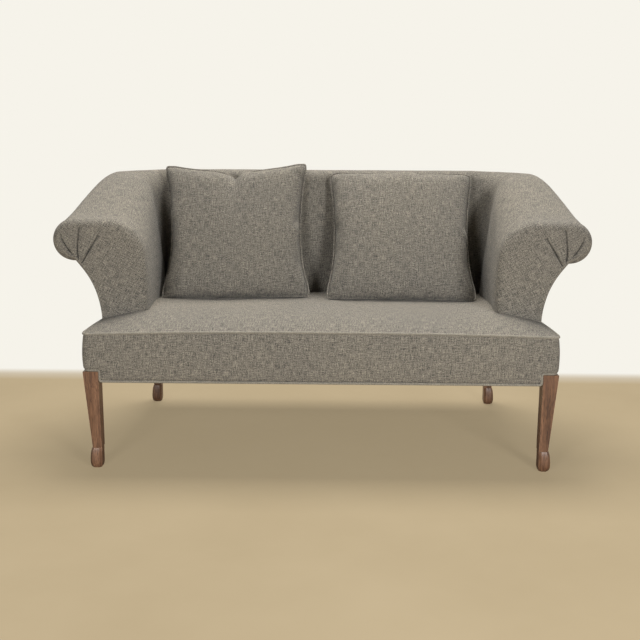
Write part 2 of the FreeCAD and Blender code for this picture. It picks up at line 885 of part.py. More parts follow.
SIDE_END = "(" + REAR_LEG_Y + " - {leg_top})"
side_stock = pad_body(
    "side_stock",
    "{rail_bottom}",
    [
        ("-" + side_at(FRONT_LEG_Y), FRONT_LEG_Y),
        ("-" + side_at(FRONT_LEG_Y) + " + {rail_thickness}", FRONT_LEG_Y),
        ("-" + side_at(SIDE_END) + " + {rail_thickness}", SIDE_END),
        ("-" + side_at(SIDE_END), SIDE_END),
    ],
    RAIL_HEIGHT,
)
left_rail = keep(drilled("left_rail", side_stock, fasteners), "left_seat_rail")
mirror_right(left_rail, "right_seat_rail")

brace = box(
    "brace",
    ("-{brace_width} / 2", IN_FRONT + " + {rail_thickness}", "{rail_bottom}"),
    ("{brace_width}", IN_REAR + " - " + IN_FRONT + " - 2 * {rail_thickness}", "{brace_height}"),
)
keep(brace, "seat_center_brace")


def rectangle(width, depth):
    return [("0", "0"), (width, "0"), (width, depth), ("0", depth)]


def eased(inset, width, depth):
    """A rectangle with its corners taken off, from inset to width and depth."""
    low = inset + " + {foot_round}"
    wide = width + " - {foot_round}"
    deep = depth + " - {foot_round}"
    return [
        (low, inset), (wide, inset), (width, low), (width, deep),
        (wide, depth), (low, depth), (inset, deep), (inset, low),
    ]


def leg_body(name, x, y, block_depth):
    """A leg in its own corner: its inner faces stay upright, its outer and front faces taper to the
    ankle, and a scroll foot swells below a small ledge."""
    body = doc.addObject("PartDesign::Body", name)
    top = outline_sketch(body, name + "_top", LEG_SHOW_TOP, rectangle("{leg_top}", "{leg_top}"))
    ankle_plan = rectangle("{ankle_width}", "{ankle_depth}")
    ankle = outline_sketch(body, name + "_ankle", "{foot_height}", ankle_plan)
    shaft = body.newObject("PartDesign::AdditiveLoft", name + "_shaft")
    shaft.Profile = top
    shaft.Sections = [ankle]
    shaft.Ruled = True
    block = outline_sketch(body, name + "_block", LEG_SHOW_TOP, rectangle("{leg_block}", block_depth))
    tenon = body.newObject("PartDesign::Pad", name + "_tenon")
    tenon.Profile = block
    tenon.setExpression("Length", formula("{rail_top} - " + LEG_SHOW_TOP))
    foot_levels = (
        ("{foot_height}", "0", "{ankle_width} + {foot_ledge}", "{ankle_depth} + {foot_ledge}"),
        ("{foot_height} * 0.74", "0", "{foot_width} - 1.5", "{foot_depth} - 1.5"),
        ("{foot_height} * 0.42", "0", "{foot_width}", "{foot_depth}"),
        ("{foot_height} * 0.14", "0.5", "{foot_width} - 1", "{foot_depth} - 1.5"),
        ("0", "3", "{foot_width} - 5", "{foot_depth} - 6"),
    )
    rings = []
    for k, (level, inset, wide, deep) in enumerate(foot_levels):
        rings.append(outline_sketch(body, "%s_foot%d" % (name, k), level, eased(inset, wide, deep)))
    foot = body.newObject("PartDesign::AdditiveLoft", name + "_foot")
    foot.Profile = rings[0]
    foot.Sections = rings[1:]
    body.Placement = FreeCAD.Placement(FreeCAD.Vector(), FreeCAD.Rotation(FreeCAD.Vector(0, 0, 1), 180))
    body.setExpression("Placement.Base.x", formula("-" + x))
    body.setExpression("Placement.Base.y", formula(y))
    return body


front_leg = leg_body("front_leg", FRONT_LEG_X, FRONT_LEG_Y, "{leg_block}")
rear_leg = leg_body("rear_leg", REAR_LEG_X, REAR_LEG_Y, "{leg_top}")
left_front_leg = keep(drilled("left_front_leg", front_leg, dowels), "front_left_leg")
mirror_right(left_front_leg, "front_right_leg")
left_rear_leg = keep(drilled("left_rear_leg", rear_leg, dowels), "rear_left_leg")
mirror_right(left_rear_leg, "rear_right_leg")


# Suspension: zigzag springs held by clips on the front and rear rails, burlap over them


def spring_rows():
    count = round(size("spring_count"))
    return [(k - (count - 1) / 2) * size("spring_pitch") for k in range(count)]


def zigzag_spring(x):
    """One flat zigzag spring from the front rail to the rear rail, straight where the clips hold it."""
    start = in_front + size("rail_thickness") / 2
    end = in_rear - size("rail_thickness") / 2
    straight = size("clip_length")
    loops = math.floor((end - start - 2 * straight) / size("spring_step"))
    step = (end - start - 2 * straight) / loops
    z = size("rail_top") + (size("clip_height") - size("spring_wire")) / 2
    points = [FreeCAD.Vector(x, start, z), FreeCAD.Vector(x, start + straight, z)]
    for k in range(1, loops):
        swing = size("spring_loop") / 2 * (1 if k % 2 else -1)
        points.append(FreeCAD.Vector(x + swing, start + straight + k * step, z))
    points += [FreeCAD.Vector(x, end - straight, z), FreeCAD.Vector(x, end, z)]
    path = Part.makePolygon(points)
    band_face = Part.Face(path.makeOffset2D(size("spring_wire") / 2, 0, False, False, False))
    return band_face.extrude(FreeCAD.Vector(0, 0, size("spring_wire")))


springs = [zigzag_spring(x) for x in spring_rows()]
keep(feature("springs", Part.makeCompound(springs)), "seat_springs")


def spring_clip(x, y):
    """A bridge clip over one end of a spring."""
    wide = size("clip_width")
    long = size("clip_length")
    slot = size("spring_wire") + 2 * size("clearance")
    spot = FreeCAD.Vector(x - wide / 2, y - long / 2, size("rail_top"))
    block = Part.makeBox(wide, long, size("clip_height"), spot)
    slot_z = size("rail_top") + size("clip_height") / 2 - slot / 2
    return block.cut(Part.makeBox(slot, 2 * long, slot, FreeCAD.Vector(x - slot / 2, y - long, slot_z)))


clip_rows = (in_front + size("rail_thickness") / 2, in_rear - size("rail_thickness") / 2)
clips = [spring_clip(x, y) for x in spring_rows() for y in clip_rows]
keep(feature("clips", Part.makeCompound(clips)), "spring_clips")

BURLAP_REAR = "(" + CORNER_POST_Y + " - {burlap_hem})"
BURLAP_REAR_X = "(" + REAR_LEG_X + " - {burlap_hem})"
burlap = pad_body(
    "burlap",
    BURLAP_Z,
    [
        ("-" + FRONT_LEG_X + " + {burlap_margin}", IN_FRONT + " + {burlap_hem}"),
        (FRONT_LEG_X + " - {burlap_margin}", IN_FRONT + " + {burlap_hem}"),
        (BURLAP_REAR_X, BURLAP_REAR),
        ("-" + BURLAP_REAR_X, BURLAP_REAR),
    ],
    "{burlap}",
)
keep(burlap, "seat_burlap")

dust = pad_body(
    "dust",
    "{rail_bottom} - {dust_cloth}",
    [
        ("-" + FRONT_LEG_X + " + {dust_margin}", IN_FRONT + " + {dust_margin}"),
        (FRONT_LEG_X + " - {dust_margin}", IN_FRONT + " + {dust_margin}"),
        (REAR_LEG_X + " - {dust_margin}", IN_REAR + " - {dust_margin}"),
        ("-" + REAR_LEG_X + " + {dust_margin}", IN_REAR + " - {dust_margin}"),
    ],
    "{dust_cloth}",
)
keep(dust, "dust_cover")


# Seat box: padded band with notches for the legs, crowned seat, cords along both edges


def rounded_path(points, radii, closed):
    """Straight runs through points, each inner corner rounded by a tangent arc."""
    count = len(points)
    corners = range(count) if closed else range(1, count - 1)
    cuts = {}
    for k in corners:
        here = points[k]
        back_way = (points[k - 1] - here).normalize()
        on_way = (points[(k + 1) % count] - here).normalize()
        half = back_way.getAngle(on_way) / 2
        reach = radii[k] / math.tan(half)
        bisector = (back_way + on_way).normalize()
        centre = here + bisector * (radii[k] / math.sin(half))
        cuts[k] = (here + back_way * reach, centre - bisector * radii[k], here + on_way * reach)
    edges = []
    legs = range(count) if closed else range(count - 1)
    for k in legs:
        after = (k + 1) % count
        start = cuts[k][2] if k in cuts else points[k]
        end = cuts[after][0] if after in cuts else points[after]
        edges.append(Part.LineSegment(start, end).toShape())
        if after in cuts:
            edges.append(Part.Arc(*cuts[after]).toShape())
    return Part.Wire(edges)


def box_corners(inset, z):
    """Plan corners of the seat box, moved inward by inset: front left, front right, rear right, rear left."""
    y0 = front + inset
    y1 = rear - inset
    x0 = side_x(y0) - inset
    x1 = side_x(y1) - inset
    return [FreeCAD.Vector(x, y, z) for x, y in ((-x0, y0), (x0, y0), (x1, y1), (-x1, y1))]


def box_outline(inset, z):
    radius = size("band_corner") - inset
    return rounded_path(box_corners(inset, z), [radius] * 4, True)


def leg_notches():
    """Boxes that clear the band round each leg's corner, with room for the cord."""
    margin = 2 * size("piping_radius") + size("clearance")
    low = size("band_bottom") - 1
    tall = notch_top - low
    wide = size("leg_top") + 2 * band
    boxes = []
    for side in (-1, 1):
        x = front_leg_x - margin if side > 0 else margin - front_leg_x - wide - margin
        spot = FreeCAD.Vector(x, front_leg_y + margin - wide - margin, low)
        boxes.append(Part.makeBox(wide + margin, wide + margin, tall, spot))
        x = rear_leg_x - margin if side > 0 else margin - rear_leg_x - wide - margin
        spot = FreeCAD.Vector(x, rear_leg_front - margin, low)
        boxes.append(Part.makeBox(wide + margin, wide + margin, tall, spot))
    return boxes


def seat_band():
    bottom = size("band_bottom")
    top = size("band_top")
    bulge = size("band_bulge")
    skin = loft([box_outline(bulge, bottom), box_outline(0, (bottom + top) / 2), box_outline(bulge, top)])
    hollow_points = box_corners(band, bottom - 1)
    hollow = Part.Face(Part.makePolygon(hollow_points + hollow_points[:1]))
    band_solid = skin.cut(hollow.extrude(FreeCAD.Vector(0, 0, top - bottom + 2)))
    for notch in leg_notches():
        band_solid = band_solid.cut(notch)
    return band_solid.cut(both_halves(cord(welt_path(), size("piping_radius") + size("clearance"))))


SEAT_LIP = 6


def seat_height(f):
    """Level of the seat's middle along its depth: a round front edge, a crown, a fall to the rear."""
    peak = 0.25
    crown = size("seat_crown")
    if f < peak:
        return size("band_top") + SEAT_LIP + (crown - SEAT_LIP) * (1 - (1 - f / peak) ** 3)
    return size("band_top") + crown - size("seat_fall") * ((f - peak) / (1 - peak)) ** 1.2


CROWN_CUTS = (0, 0.03, 0.09, 0.2, 0.4, 0.7, 1)


def seat_row(f, inset):
    """Measures of the seat's section at a share of its depth: depth, half width, edge, shoulder, top."""
    edge = size("clearance") + inset
    y = between(in_front + edge, in_rear - edge, f)
    low = size("band_top") + SEAT_LIP / 3 - inset
    top = seat_height(f) - inset
    return y, inner_side_x(y) - edge, low, low + 0.8 * (top - low), top


def seat_level(x, y):
    """Height of the seat's cloth at a point of its crown."""
    f = (y - in_front) / (in_rear - in_front)
    half, shoulder, top = [seat_row(f, 0)[k] for k in (1, 3, 4)]
    reach = half - size("seat_shoulder")
    sag = top - shoulder
    radius = (reach * reach + sag * sag) / (2 * sag)
    return top - radius + math.sqrt(radius * radius - x * x)


def crowned_seat(inset, bottom):
    """The tight seat's rounded block, moved inward by inset."""
    width = size("seat_shoulder")
    wires = []
    for f in CROWN_CUTS:
        y, x, low, shoulder, top = seat_row(f, inset)
        rise = (shoulder - low) / 2
        swell = (-x + 0.32 * width, low + rise + 0.36 * rise)
        runs = [
            ((-x, bottom), None, (-x, low)),
            ((-x, low), swell, (-x + width, shoulder)),
            ((-x + width, shoulder), (0, top), (x - width, shoulder)),
            ((x - width, shoulder), (-swell[0], swell[1]), (x, low)),
            ((x, low), None, (x, bottom)),
        ]
        wires.append(closed_wire(runs, lambda p, y=y: FreeCAD.Vector(p[0], y, p[1])))
    return loft(wires)


def seat_obstacles():
    """What stands on the seat frame and passes up through the seat's padding."""
    grow = -size("clearance")
    left = [envelope(arm_spans, grow), envelope([facing_reach], grow)]
    foot = [p for p in front_post_outline() if p[1] <= arm_base]
    u_low = min(u for u, z in foot if z < arm_base) - size("clearance")
    u_high = max(u for u, z in foot) + size("clearance")
    reach = size("post_thickness") + 2 * size("clearance")
    spot = FreeCAD.Vector(-u_high, post_front - size("clearance"), size("rail_top"))
    left.append(Part.makeBox(u_high - u_low, reach, arm_base - size("rail_top") + 2, spot))
    right = [piece.mirror(FreeCAD.Vector(), FreeCAD.Vector(1, 0, 0)) for piece in left]
    return left + right + [envelope(back_spans, grow)]


def clear_seat(block):
    """Cuts the room of the back's frame, then the arms, the back and the posts, out of a seat block."""
    crest_face = size("overall_depth") / 2 - size("crest_radius") - size("top_rail") / 2
    wide = size("seat_front_width")
    tall = 2 * size("seat_crown") + arm_base - size("rail_top")
    spot = FreeCAD.Vector(-wide / 2, crest_face - size("frame_room"), size("rail_top"))
    block = block.cut(Part.makeBox(wide, size("overall_depth"), tall, spot))
    for obstacle in seat_obstacles():
        block = block.cut(obstacle)
    return block


def seat_cover():
    """The seat's cloth, slit at the front posts and left off where the arms hide its sides."""
    skin = clear_seat(crowned_seat(0, pad_bottom).cut(crowned_seat(cloth, pad_bottom - 1)))
    slit = post_front - size("clearance")
    wide = size("seat_front_width") / 2 - size("inner_width") / 2
    for side in (-1, 1):
        x = min(side * size("seat_front_width") / 2, side * size("inner_width") / 2)
        spot = FreeCAD.Vector(x, slit, size("rail_top"))
        skin = skin.cut(Part.makeBox(wide, rear - slit, arm_base - size("rail_top"), spot))
    return skin


keep(feature("seat_skin", seat_cover()), "seat_cover")
keep(feature("seat_stuffing", clear_seat(crowned_seat(pad_outer, pad_bottom))), "seat_pad")


def cord(path, radius):
    """A round cord along a path."""
    edge = path.Edges[0]
    start = edge.valueAt(edge.FirstParameter)
    circle = Part.Wire(Part.makeCircle(radius, start, edge.tangentAt(edge.FirstParameter)))
    return path.makePipeShell([circle], True, False)


def both_halves(shape):
    return Part.makeCompound([shape, shape.mirror(FreeCAD.Vector(), FreeCAD.Vector(1, 0, 0))])


def piping_path():
    """Half of the top cord: from the front's middle round the left side to the rear's middle."""
    z = size("band_top") + size("piping_radius")
    inset = size("band_bulge") + size("piping_radius") / 2
    corners = box_corners(inset, z)
    points = [FreeCAD.Vector(0, corners[0].y, z), corners[0], corners[3], FreeCAD.Vector(0, corners[3].y, z)]
    return rounded_path(points, [size("band_corner") - inset] * 4, False)


keep(feature("piping", both_halves(cord(piping_path(), size("piping_radius")))), "seat_piping")


def welt_path():
    """Half of the bottom cord: it steps up and over each leg on the left side."""
    r = size("piping_radius")
    inset = size("band_bulge") + r
    low = size("band_bottom") - r
    high = notch_top - r
    gap = r + size("clearance")
    y0 = front + inset
    y1 = rear - inset
    x_front = front_leg_x - gap
    x_rear = rear_leg_x - gap
    y_front = front_leg_y + gap
    y_rear = rear_leg_front - gap

    def side(y):
        return side_x(y) - inset

    plan = [
        (0, y0, low),
        (x_front, y0, low),
        (x_front, y0, high),
        (side(y0), y0, high),
        (side(y_front), y_front, high),
        (side(y_front), y_front, low),
        (side(y_rear), y_rear, low),
        (side(y_rear), y_rear, high),
        (side(y1), y1, high),
        (x_rear, y1, high),
        (x_rear, y1, low),
        (0, y1, low),
    ]
    points = [FreeCAD.Vector(-x, y, z) for x, y, z in plan]
    return rounded_path(points, [1.6 * r] * len(points), False)


keep(feature("welt", both_halves(cord(welt_path(), size("piping_radius")))), "bottom_welt")
keep(feature("band_shell", seat_band()), "seat_band")


# Loose pillows: a knife-edge cover over a filled insert, with a cord sewn round the seam

PILLOW_CUTS = (0, 0.07, 0.25, 0.5, 0.75, 0.93, 1)


def pillow_half_width(f):
    return size("pillow_width") / 2 - size("pillow_draw") * 4 * f * (1 - f)


def pillow_fill(f):
    """Half thickness of a pillow's middle at a share of its height."""
    share = max(math.sin(math.pi * f), 0) ** 0.75
    return between(size("pillow_edge") + 2, size("pillow_thickness") / 2, share)


def pillow_solid(inset):
    """A crowned pillow standing on its lower seam, moved inward by inset."""
    edge = size("pillow_edge") - inset
    wires = []
    for f in PILLOW_CUTS:
        x = pillow_half_width(f) - inset
        swell = pillow_fill(f) - inset
        z = between(inset, size("pillow_height") - inset, f)
        runs = [
            ((-x, -edge), (0, -swell), (x, -edge)),
            ((x, edge), (0, swell), (-x, edge)),
        ]
        wires.append(closed_wire(runs, lambda p, z=z: FreeCAD.Vector(p[0], p[1], z)))
    return loft(wires)


def pillow_welt():
    """Four lengths of cord: two up the drawn-in sides, two along the straight ends."""
    r = size("pillow_welt")
    off = r + size("clearance")
    half = pillow_half_width(0)
    waist = pillow_half_width(0.5) + off
    tall = size("pillow_height")
    cords = []
    for side in (-1, 1):
        bow = ((half + off, r), (waist, tall / 2), (half + off, tall - r))
        cords.append(Part.Arc(*[FreeCAD.Vector(side * x, 0, z) for x, z in bow]))
    for z in (-off, tall + off):
        cords.append(Part.LineSegment(FreeCAD.Vector(-half, 0, z), FreeCAD.Vector(half, 0, z)))
    return Part.makeCompound([cord(Part.Wire(curve.toShape()), r) for curve in cords])


def back_face(z):
    """Depth of the inside back's middle at a level."""
    inside = section_runs(back_section(0), 0)[5]
    arc = Part.Arc(*[FreeCAD.Vector(u - corner_x + corner_y, level, 0) for u, level in inside])
    circle = arc.toShape().Curve
    rise = z - circle.Center.y
    return circle.Center.x - math.sqrt(circle.Radius ** 2 - rise * rise)


def pillow_place(name):
    """Stands a pillow on its lower cord and leans it against the back: the lift keeps the cord clear
    of the seat along its length, the foot keeps the filled middle clear of the back."""
    x = size(name + "_x")
    lean = math.radians(size(name + "_lean"))
    roll = math.radians(size(name + "_roll"))
    r = size("pillow_welt")
    base = size("band_top") + size("seat_crown")
    feet = []
    for f in PILLOW_CUTS[2:-1]:
        up = size("pillow_height") * f
        rise = up * math.cos(lean) - pillow_fill(f) * math.sin(lean)
        reach = up * math.sin(lean) + pillow_fill(f) * math.cos(lean)
        feet.append(back_face(base + rise) - reach)
    foot = min(feet) - size("pillow_rest")
    under = []
    for share in (-1, 0, 1):
        along = share * size("pillow_width") / 2
        under.append(seat_level(x + along, foot) - along * math.sin(roll))
    lift = max(under) + r + (r + size("clearance")) * math.cos(lean) - size("clearance")
    leaning = FreeCAD.Rotation(FreeCAD.Vector(1, 0, 0), -size(name + "_lean"))
    rolled = FreeCAD.Rotation(FreeCAD.Vector(0, 1, 0), -size(name + "_roll"))
    return FreeCAD.Placement(FreeCAD.Vector(x, foot, lift), leaning.multiply(rolled))


def pillow(name):
    cover = pillow_solid(0).cut(pillow_solid(cloth))
    insert = pillow_solid(pad_outer)
    for label, shape in (("cover", cover), ("insert", insert), ("welt", pillow_welt())):
        piece = keep(feature(name + "_" + label + "_shape", shape), name + "_" + label)
        piece.Placement = pillow_place(name)


pillow("left_pillow")
pillow("right_pillow")


# Check every piece, then write it

doc.recompute()
for item in doc.Objects:
    if "Invalid" in item.State or "Error" in item.State:
        raise RuntimeError("failed object: " + item.Name)
for piece in nodes:
    if piece.Shape.isNull() or not piece.Shape.isValid():
        raise RuntimeError("bad shape: " + piece.Label)
os.makedirs("parts", exist_ok=True)
for piece in nodes:
    piece.Shape.exportStep(os.path.join("parts", piece.Label + ".step"))
    print(piece.Label, len(piece.Shape.Solids), round(piece.Shape.Volume / 1000, 1))
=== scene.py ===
import math

import bpy
import numpy as np
from mathutils import Matrix, Vector, noise
from mathutils.bvhtree import BVHTree
from mathutils.geometry import delaunay_2d_cdt


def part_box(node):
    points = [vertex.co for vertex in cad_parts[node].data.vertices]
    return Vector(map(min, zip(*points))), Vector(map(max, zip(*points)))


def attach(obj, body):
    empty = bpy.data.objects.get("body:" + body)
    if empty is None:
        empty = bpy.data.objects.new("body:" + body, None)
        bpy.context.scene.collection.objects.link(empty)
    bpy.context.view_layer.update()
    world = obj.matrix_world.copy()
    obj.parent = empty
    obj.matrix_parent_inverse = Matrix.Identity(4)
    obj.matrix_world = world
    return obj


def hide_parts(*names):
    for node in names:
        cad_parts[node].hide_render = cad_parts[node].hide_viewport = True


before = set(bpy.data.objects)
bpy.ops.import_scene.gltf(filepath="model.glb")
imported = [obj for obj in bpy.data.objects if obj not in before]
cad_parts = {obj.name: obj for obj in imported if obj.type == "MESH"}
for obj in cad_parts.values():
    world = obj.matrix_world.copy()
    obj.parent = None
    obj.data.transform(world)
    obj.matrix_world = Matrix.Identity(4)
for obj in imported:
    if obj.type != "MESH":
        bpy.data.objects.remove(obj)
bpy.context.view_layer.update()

# The settee's upholstery, worked out in millimetres from the same measures as the solids and put into
# the scene in metres. +X is to the right of someone facing the settee, the front faces -Y, +Z is up.

MM = 0.001

# Measures of the solids

FRONT = -401.0
REAR = 389.0
BAND = 15.0
BAND_BULGE = 6.0
BAND_CORNER = 26.0
BAND_BOTTOM = 275.0
BAND_TOP = 414.0
NOTCH_TOP = 309.0
IN_FRONT = FRONT + BAND
IN_REAR = REAR - BAND
FRONT_HALF = 711.0
REAR_HALF = 661.0
FRONT_LEG = (660.0, -350.0)
REAR_LEG = (610.0, 327.7)
PIPING = 4.0
CLEARANCE = 0.3
ARM_BASE = BAND_TOP + 2 * PIPING + CLEARANCE
ARM_FRONT = -206.0
ARM_FULL = -176.0
ARM_BASE_INSET = 12.0
ARM_SPAN = 1676.0
ARM_HEIGHT = 737.0
BACK_HEIGHT = 871.0
ROLL = 66.0
ROLL_REAR = 51.0
ROLL_INSET = 60.0
ROLL_REAR_DROP = 6.0
ARM_SWELL = 18.0
SWELL_REACH = 0.6
FOOT_FULLNESS = 7.0
INNER_HALF = 568.0
INNER_TAPER = 30.0
INNER_RAKE = 2.0
INNER_REAR_RAKE = -38.0
NECK_FRONT = 92.0
NECK_REAR = 48.0
SHOULDER_FRONT = 115.0
SHOULDER_REAR = 98.0
ARM_BULGE = 5.0
FACING_ROUND = 24.0
FACING_INNER_ROUND = 26.0
FACING_FOOT_SHARE = 0.15
BACK_BASE = 374.0
BACK_DEPTH = 401.0
BACK_FOOT = 145.0
BACK_FOOT_EASE = 25.0
BACK_NECK = 12.0
BACK_THICK = 124.0
BACK_SHOULDER = 44.0
BACK_BULGE = 12.0
BACK_EASE = 1.74
CREST = 46.0
CORNER = 152.0
BASE_CORNER = 40.0
CORNER_FOOT_EASE = 55.0
CORNER_EASE = 10.0
SEAT_CROWN = 42.0
SEAT_FALL = 19.0
SEAT_SHOULDER = 118.0
SEAT_LIP = 6.0
DECK_INSET = 10.0
DUST_MARGIN = 7.0
SIDE_SLOPE = (FRONT_HALF - REAR_HALF) / (REAR - FRONT)


def between(a, b, t):
    return a + (b - a) * t


def smooth(t):
    return t * t * (3 - 2 * t)


def side_x(y):
    """Half width of the seat box at depth y."""
    return FRONT_HALF - SIDE_SLOPE * (y - FRONT)


CORNER_Y = BACK_BASE - CORNER
CORNER_X = side_x(CORNER_Y) - ARM_BASE_INSET - CORNER


# Cross-sections of the arms and back, each in an upright plane: u outward across the wall, z up


def arm_section(t):
    """The arm's section, from its full front end (t = 0) to the back corner (t = 1)."""
    y = between(ARM_FULL, CORNER_Y, t)
    swell = ARM_SWELL * (1 - smooth(min(t / SWELL_REACH, 1)))
    inner = INNER_HALF + INNER_TAPER * t ** 3 - swell
    return {
        "base_out": side_x(y) - ARM_BASE_INSET + FOOT_FULLNESS * (1 - t) ** 2,
        "base_in": inner + between(INNER_RAKE, INNER_REAR_RAKE, t * t),
        "roll_u": ARM_SPAN / 2 - ROLL - ROLL_INSET * t ** 1.3,
        "roll_r": between(ROLL, ROLL_REAR, t ** 1.5),
        "top": between(ARM_HEIGHT, BACK_HEIGHT - ROLL_REAR_DROP, (t + 3 * smooth(t)) / 4),
        "neck": -between(NECK_FRONT, NECK_REAR, t * t),
        "inner": inner,
        "shoulder": between(SHOULDER_FRONT, SHOULDER_REAR, t ** 3),
        "bulge": ARM_BULGE,
    }


def back_section(end):
    """The back's section at its middle (end = 0) or where it turns into an arm (end = 1)."""
    shift = CORNER_X - CORNER_Y
    return {
        "base_out": BACK_BASE + shift,
        "base_in": BACK_BASE - BACK_FOOT + BACK_FOOT_EASE * end + shift,
        "roll_u": BACK_DEPTH - CREST + shift,
        "roll_r": CREST,
        "top": BACK_HEIGHT,
        "neck": -BACK_NECK,
        "inner": BACK_DEPTH - BACK_THICK + shift,
        "shoulder": BACK_SHOULDER,
        "bulge": between(BACK_BULGE, ARM_BULGE, end),
    }


def base_reach(turn):
    """How much farther out the base stands at a turn round the corner than a fully round one."""
    a = math.radians(min(turn, 90 - turn))
    if CORNER * math.tan(a) <= CORNER - BASE_CORNER:
        return CORNER / math.cos(a) - CORNER
    centre = (CORNER - BASE_CORNER) * (math.cos(a) + math.sin(a))
    side = (CORNER - BASE_CORNER) * (math.cos(a) - math.sin(a))
    return centre + math.sqrt(BASE_CORNER ** 2 - side * side) - CORNER


def corner_section(turn):
    """A section round the corner, turned from the arm (0) to the back (90 degrees)."""
    arm = arm_section(1)
    back = back_section(1)
    here = {key: between(arm[key], back[key], smooth(turn / 90)) for key in arm}
    crease = 1 - abs(turn - 45) / 45
    here["base_out"] += base_reach(turn)
    here["base_in"] += CORNER_FOOT_EASE * crease
    here["inner"] += CORNER_EASE * crease
    return here


def facing_section(angle):
    """The arm front's rounded edge: 0 at the arm's full section, 90 degrees at its flat face."""
    drop = 1 - math.cos(math.radians(angle))
    edge = FACING_ROUND * drop
    inner = FACING_INNER_ROUND * drop
    full = arm_section(0)
    full["base_out"] -= FACING_FOOT_SHARE * edge
    full["base_in"] += inner
    full["inner"] += inner
    full["roll_r"] -= edge
    full["shoulder"] -= edge
    full["top"] -= edge
    return full


def on_circle(centre, radius, angle):
    return (centre[0] + radius * math.cos(angle), centre[1] + radius * math.sin(angle))


def angle_of(centre, point):
    return math.atan2(point[1] - centre[1], point[0] - centre[0])


def arc_through(a, b, c, count):
    """Evenly spaced points on the arc from a through b to c."""
    ax, ay = a
    bx, by = b
    cx, cy = c
    d = 2 * (ax * (by - cy) + bx * (cy - ay) + cx * (ay - by))
    if abs(d) < 1e-6:
        return [(between(ax, cx, k / count), between(ay, cy, k / count)) for k in range(count + 1)]
    sa, sb, sc = ax * ax + ay * ay, bx * bx + by * by, cx * cx + cy * cy
    centre = (
        (sa * (by - cy) + sb * (cy - ay) + sc * (ay - by)) / d,
        (sa * (cx - bx) + sb * (ax - cx) + sc * (bx - ax)) / d,
    )
    radius = math.dist(centre, a)
    first = angle_of(centre, a)
    middle = (angle_of(centre, b) - first) % (2 * math.pi)
    sweep = (angle_of(centre, c) - first) % (2 * math.pi)
    if middle > sweep:
        sweep -= 2 * math.pi
    return [on_circle(centre, radius, first + sweep * k / count) for k in range(count + 1)]


def section_runs(s):
    """The section's outline as runs of three points: flare, roll, top, shoulder, inside face."""
    roll = (s["roll_u"], s["top"] - s["roll_r"])
    neck = on_circle(roll, s["roll_r"], math.radians(s["neck"]))
    base = (s["base_out"], ARM_BASE)
    wide = neck[0] - base[0]
    rise = neck[1] - base[1]
    flare = (wide * wide + rise * rise) / (2 * wide)
    flare_centre = (base[0] + flare, ARM_BASE)
    flare_mid = on_circle(flare_centre, flare, (math.pi + angle_of(flare_centre, neck)) / 2)
    shoulder = (s["inner"] + s["shoulder"], s["top"] - s["shoulder"])
    lean = math.atan2(shoulder[1] - roll[1], shoulder[0] - roll[0])
    span = math.dist(shoulder, roll)
    top_angle = (lean - math.acos((s["roll_r"] - s["shoulder"]) / span)) % (2 * math.pi)
    neck_angle = math.radians(s["neck"])
    roll_mid = on_circle(roll, s["roll_r"], (neck_angle + top_angle) / 2)
    roll_top = on_circle(roll, s["roll_r"], top_angle)
    shoulder_top = on_circle(shoulder, s["shoulder"], top_angle)
    top_mid = ((roll_top[0] + shoulder_top[0]) / 2, (roll_top[1] + shoulder_top[1]) / 2)
    foot = (s["base_in"], ARM_BASE)
    inner_angle = angle_of(shoulder, foot) - math.acos(s["shoulder"] / math.dist(foot, shoulder))
    inner_angle %= 2 * math.pi
    inner_top = on_circle(shoulder, s["shoulder"], inner_angle)
    bulge = ((inner_top[0] + foot[0]) / 2 - s["bulge"], (inner_top[1] + foot[1]) / 2)
    shoulder_mid = on_circle(shoulder, s["shoulder"], (top_angle + inner_angle) / 2)
    return [
        (base, flare_mid, neck),
        (neck, roll_mid, roll_top),
        (roll_top, top_mid, shoulder_top),
        (shoulder_top, shoulder_mid, inner_top),
        (inner_top, bulge, foot),
    ]


RUN_STEPS = (40, 72, 14, 26, 44)
NECK_COLUMN = RUN_STEPS[0]
COLUMNS = sum(RUN_STEPS) + 1


def outline(s):
    """Points of a section's outline, the same number in every section."""
    points = []
    for run, count in zip(section_runs(s), RUN_STEPS):
        points += arc_through(*run, count)[: -1]
    points.append(section_runs(s)[-1][2])
    return np.array(points)


def arm_rows(sections_at):
    """Rows of points of the left arm, from (section, depth) pairs."""
    rows = []
    for section, y in sections_at:
        p = outline(section)
        rows.append(np.stack([-p[:, 0], np.full(len(p), y), p[:, 1]], 1))
    return rows


ARM_STEPS = 56
CORNER_STEPS = 40
BACK_STEPS = 110
FACING_STEPS = 18


def left_facing_rows():
    pairs = []
    for k in range(FACING_STEPS, 0, -1):
        angle = 90 * k / FACING_STEPS
        y = ARM_FULL + (ARM_FRONT - ARM_FULL) * math.sin(math.radians(angle))
        pairs.append((facing_section(angle), y))
    return arm_rows(pairs)


def left_arm_rows():
    ts = [k / ARM_STEPS for k in range(ARM_STEPS + 1)]
    return arm_rows([(arm_section(t), between(ARM_FULL, CORNER_Y, t)) for t in ts])


def left_corner_rows():
    rows = []
    for k in range(1, CORNER_STEPS):
        turn = 90 * k / CORNER_STEPS
        a = math.radians(turn)
        p = outline(corner_section(turn))
        out = p[:, 0] - CORNER_X
        rows.append(np.stack([-(CORNER_X + out * math.cos(a)), CORNER_Y + out * math.sin(a), p[:, 1]], 1))
    return rows


def back_rows():
    rows = []
    for k in range(BACK_STEPS + 1):
        share = 2 * k / BACK_STEPS - 1
        p = outline(back_section(abs(share) ** BACK_EASE))
        rows.append(np.stack([np.full(len(p), share * CORNER_X), p[:, 0] - CORNER_X + CORNER_Y, p[:, 1]], 1))
    return rows


def mirrored(rows):
    return [row * np.array([-1, 1, 1]) for row in rows[::-1]]


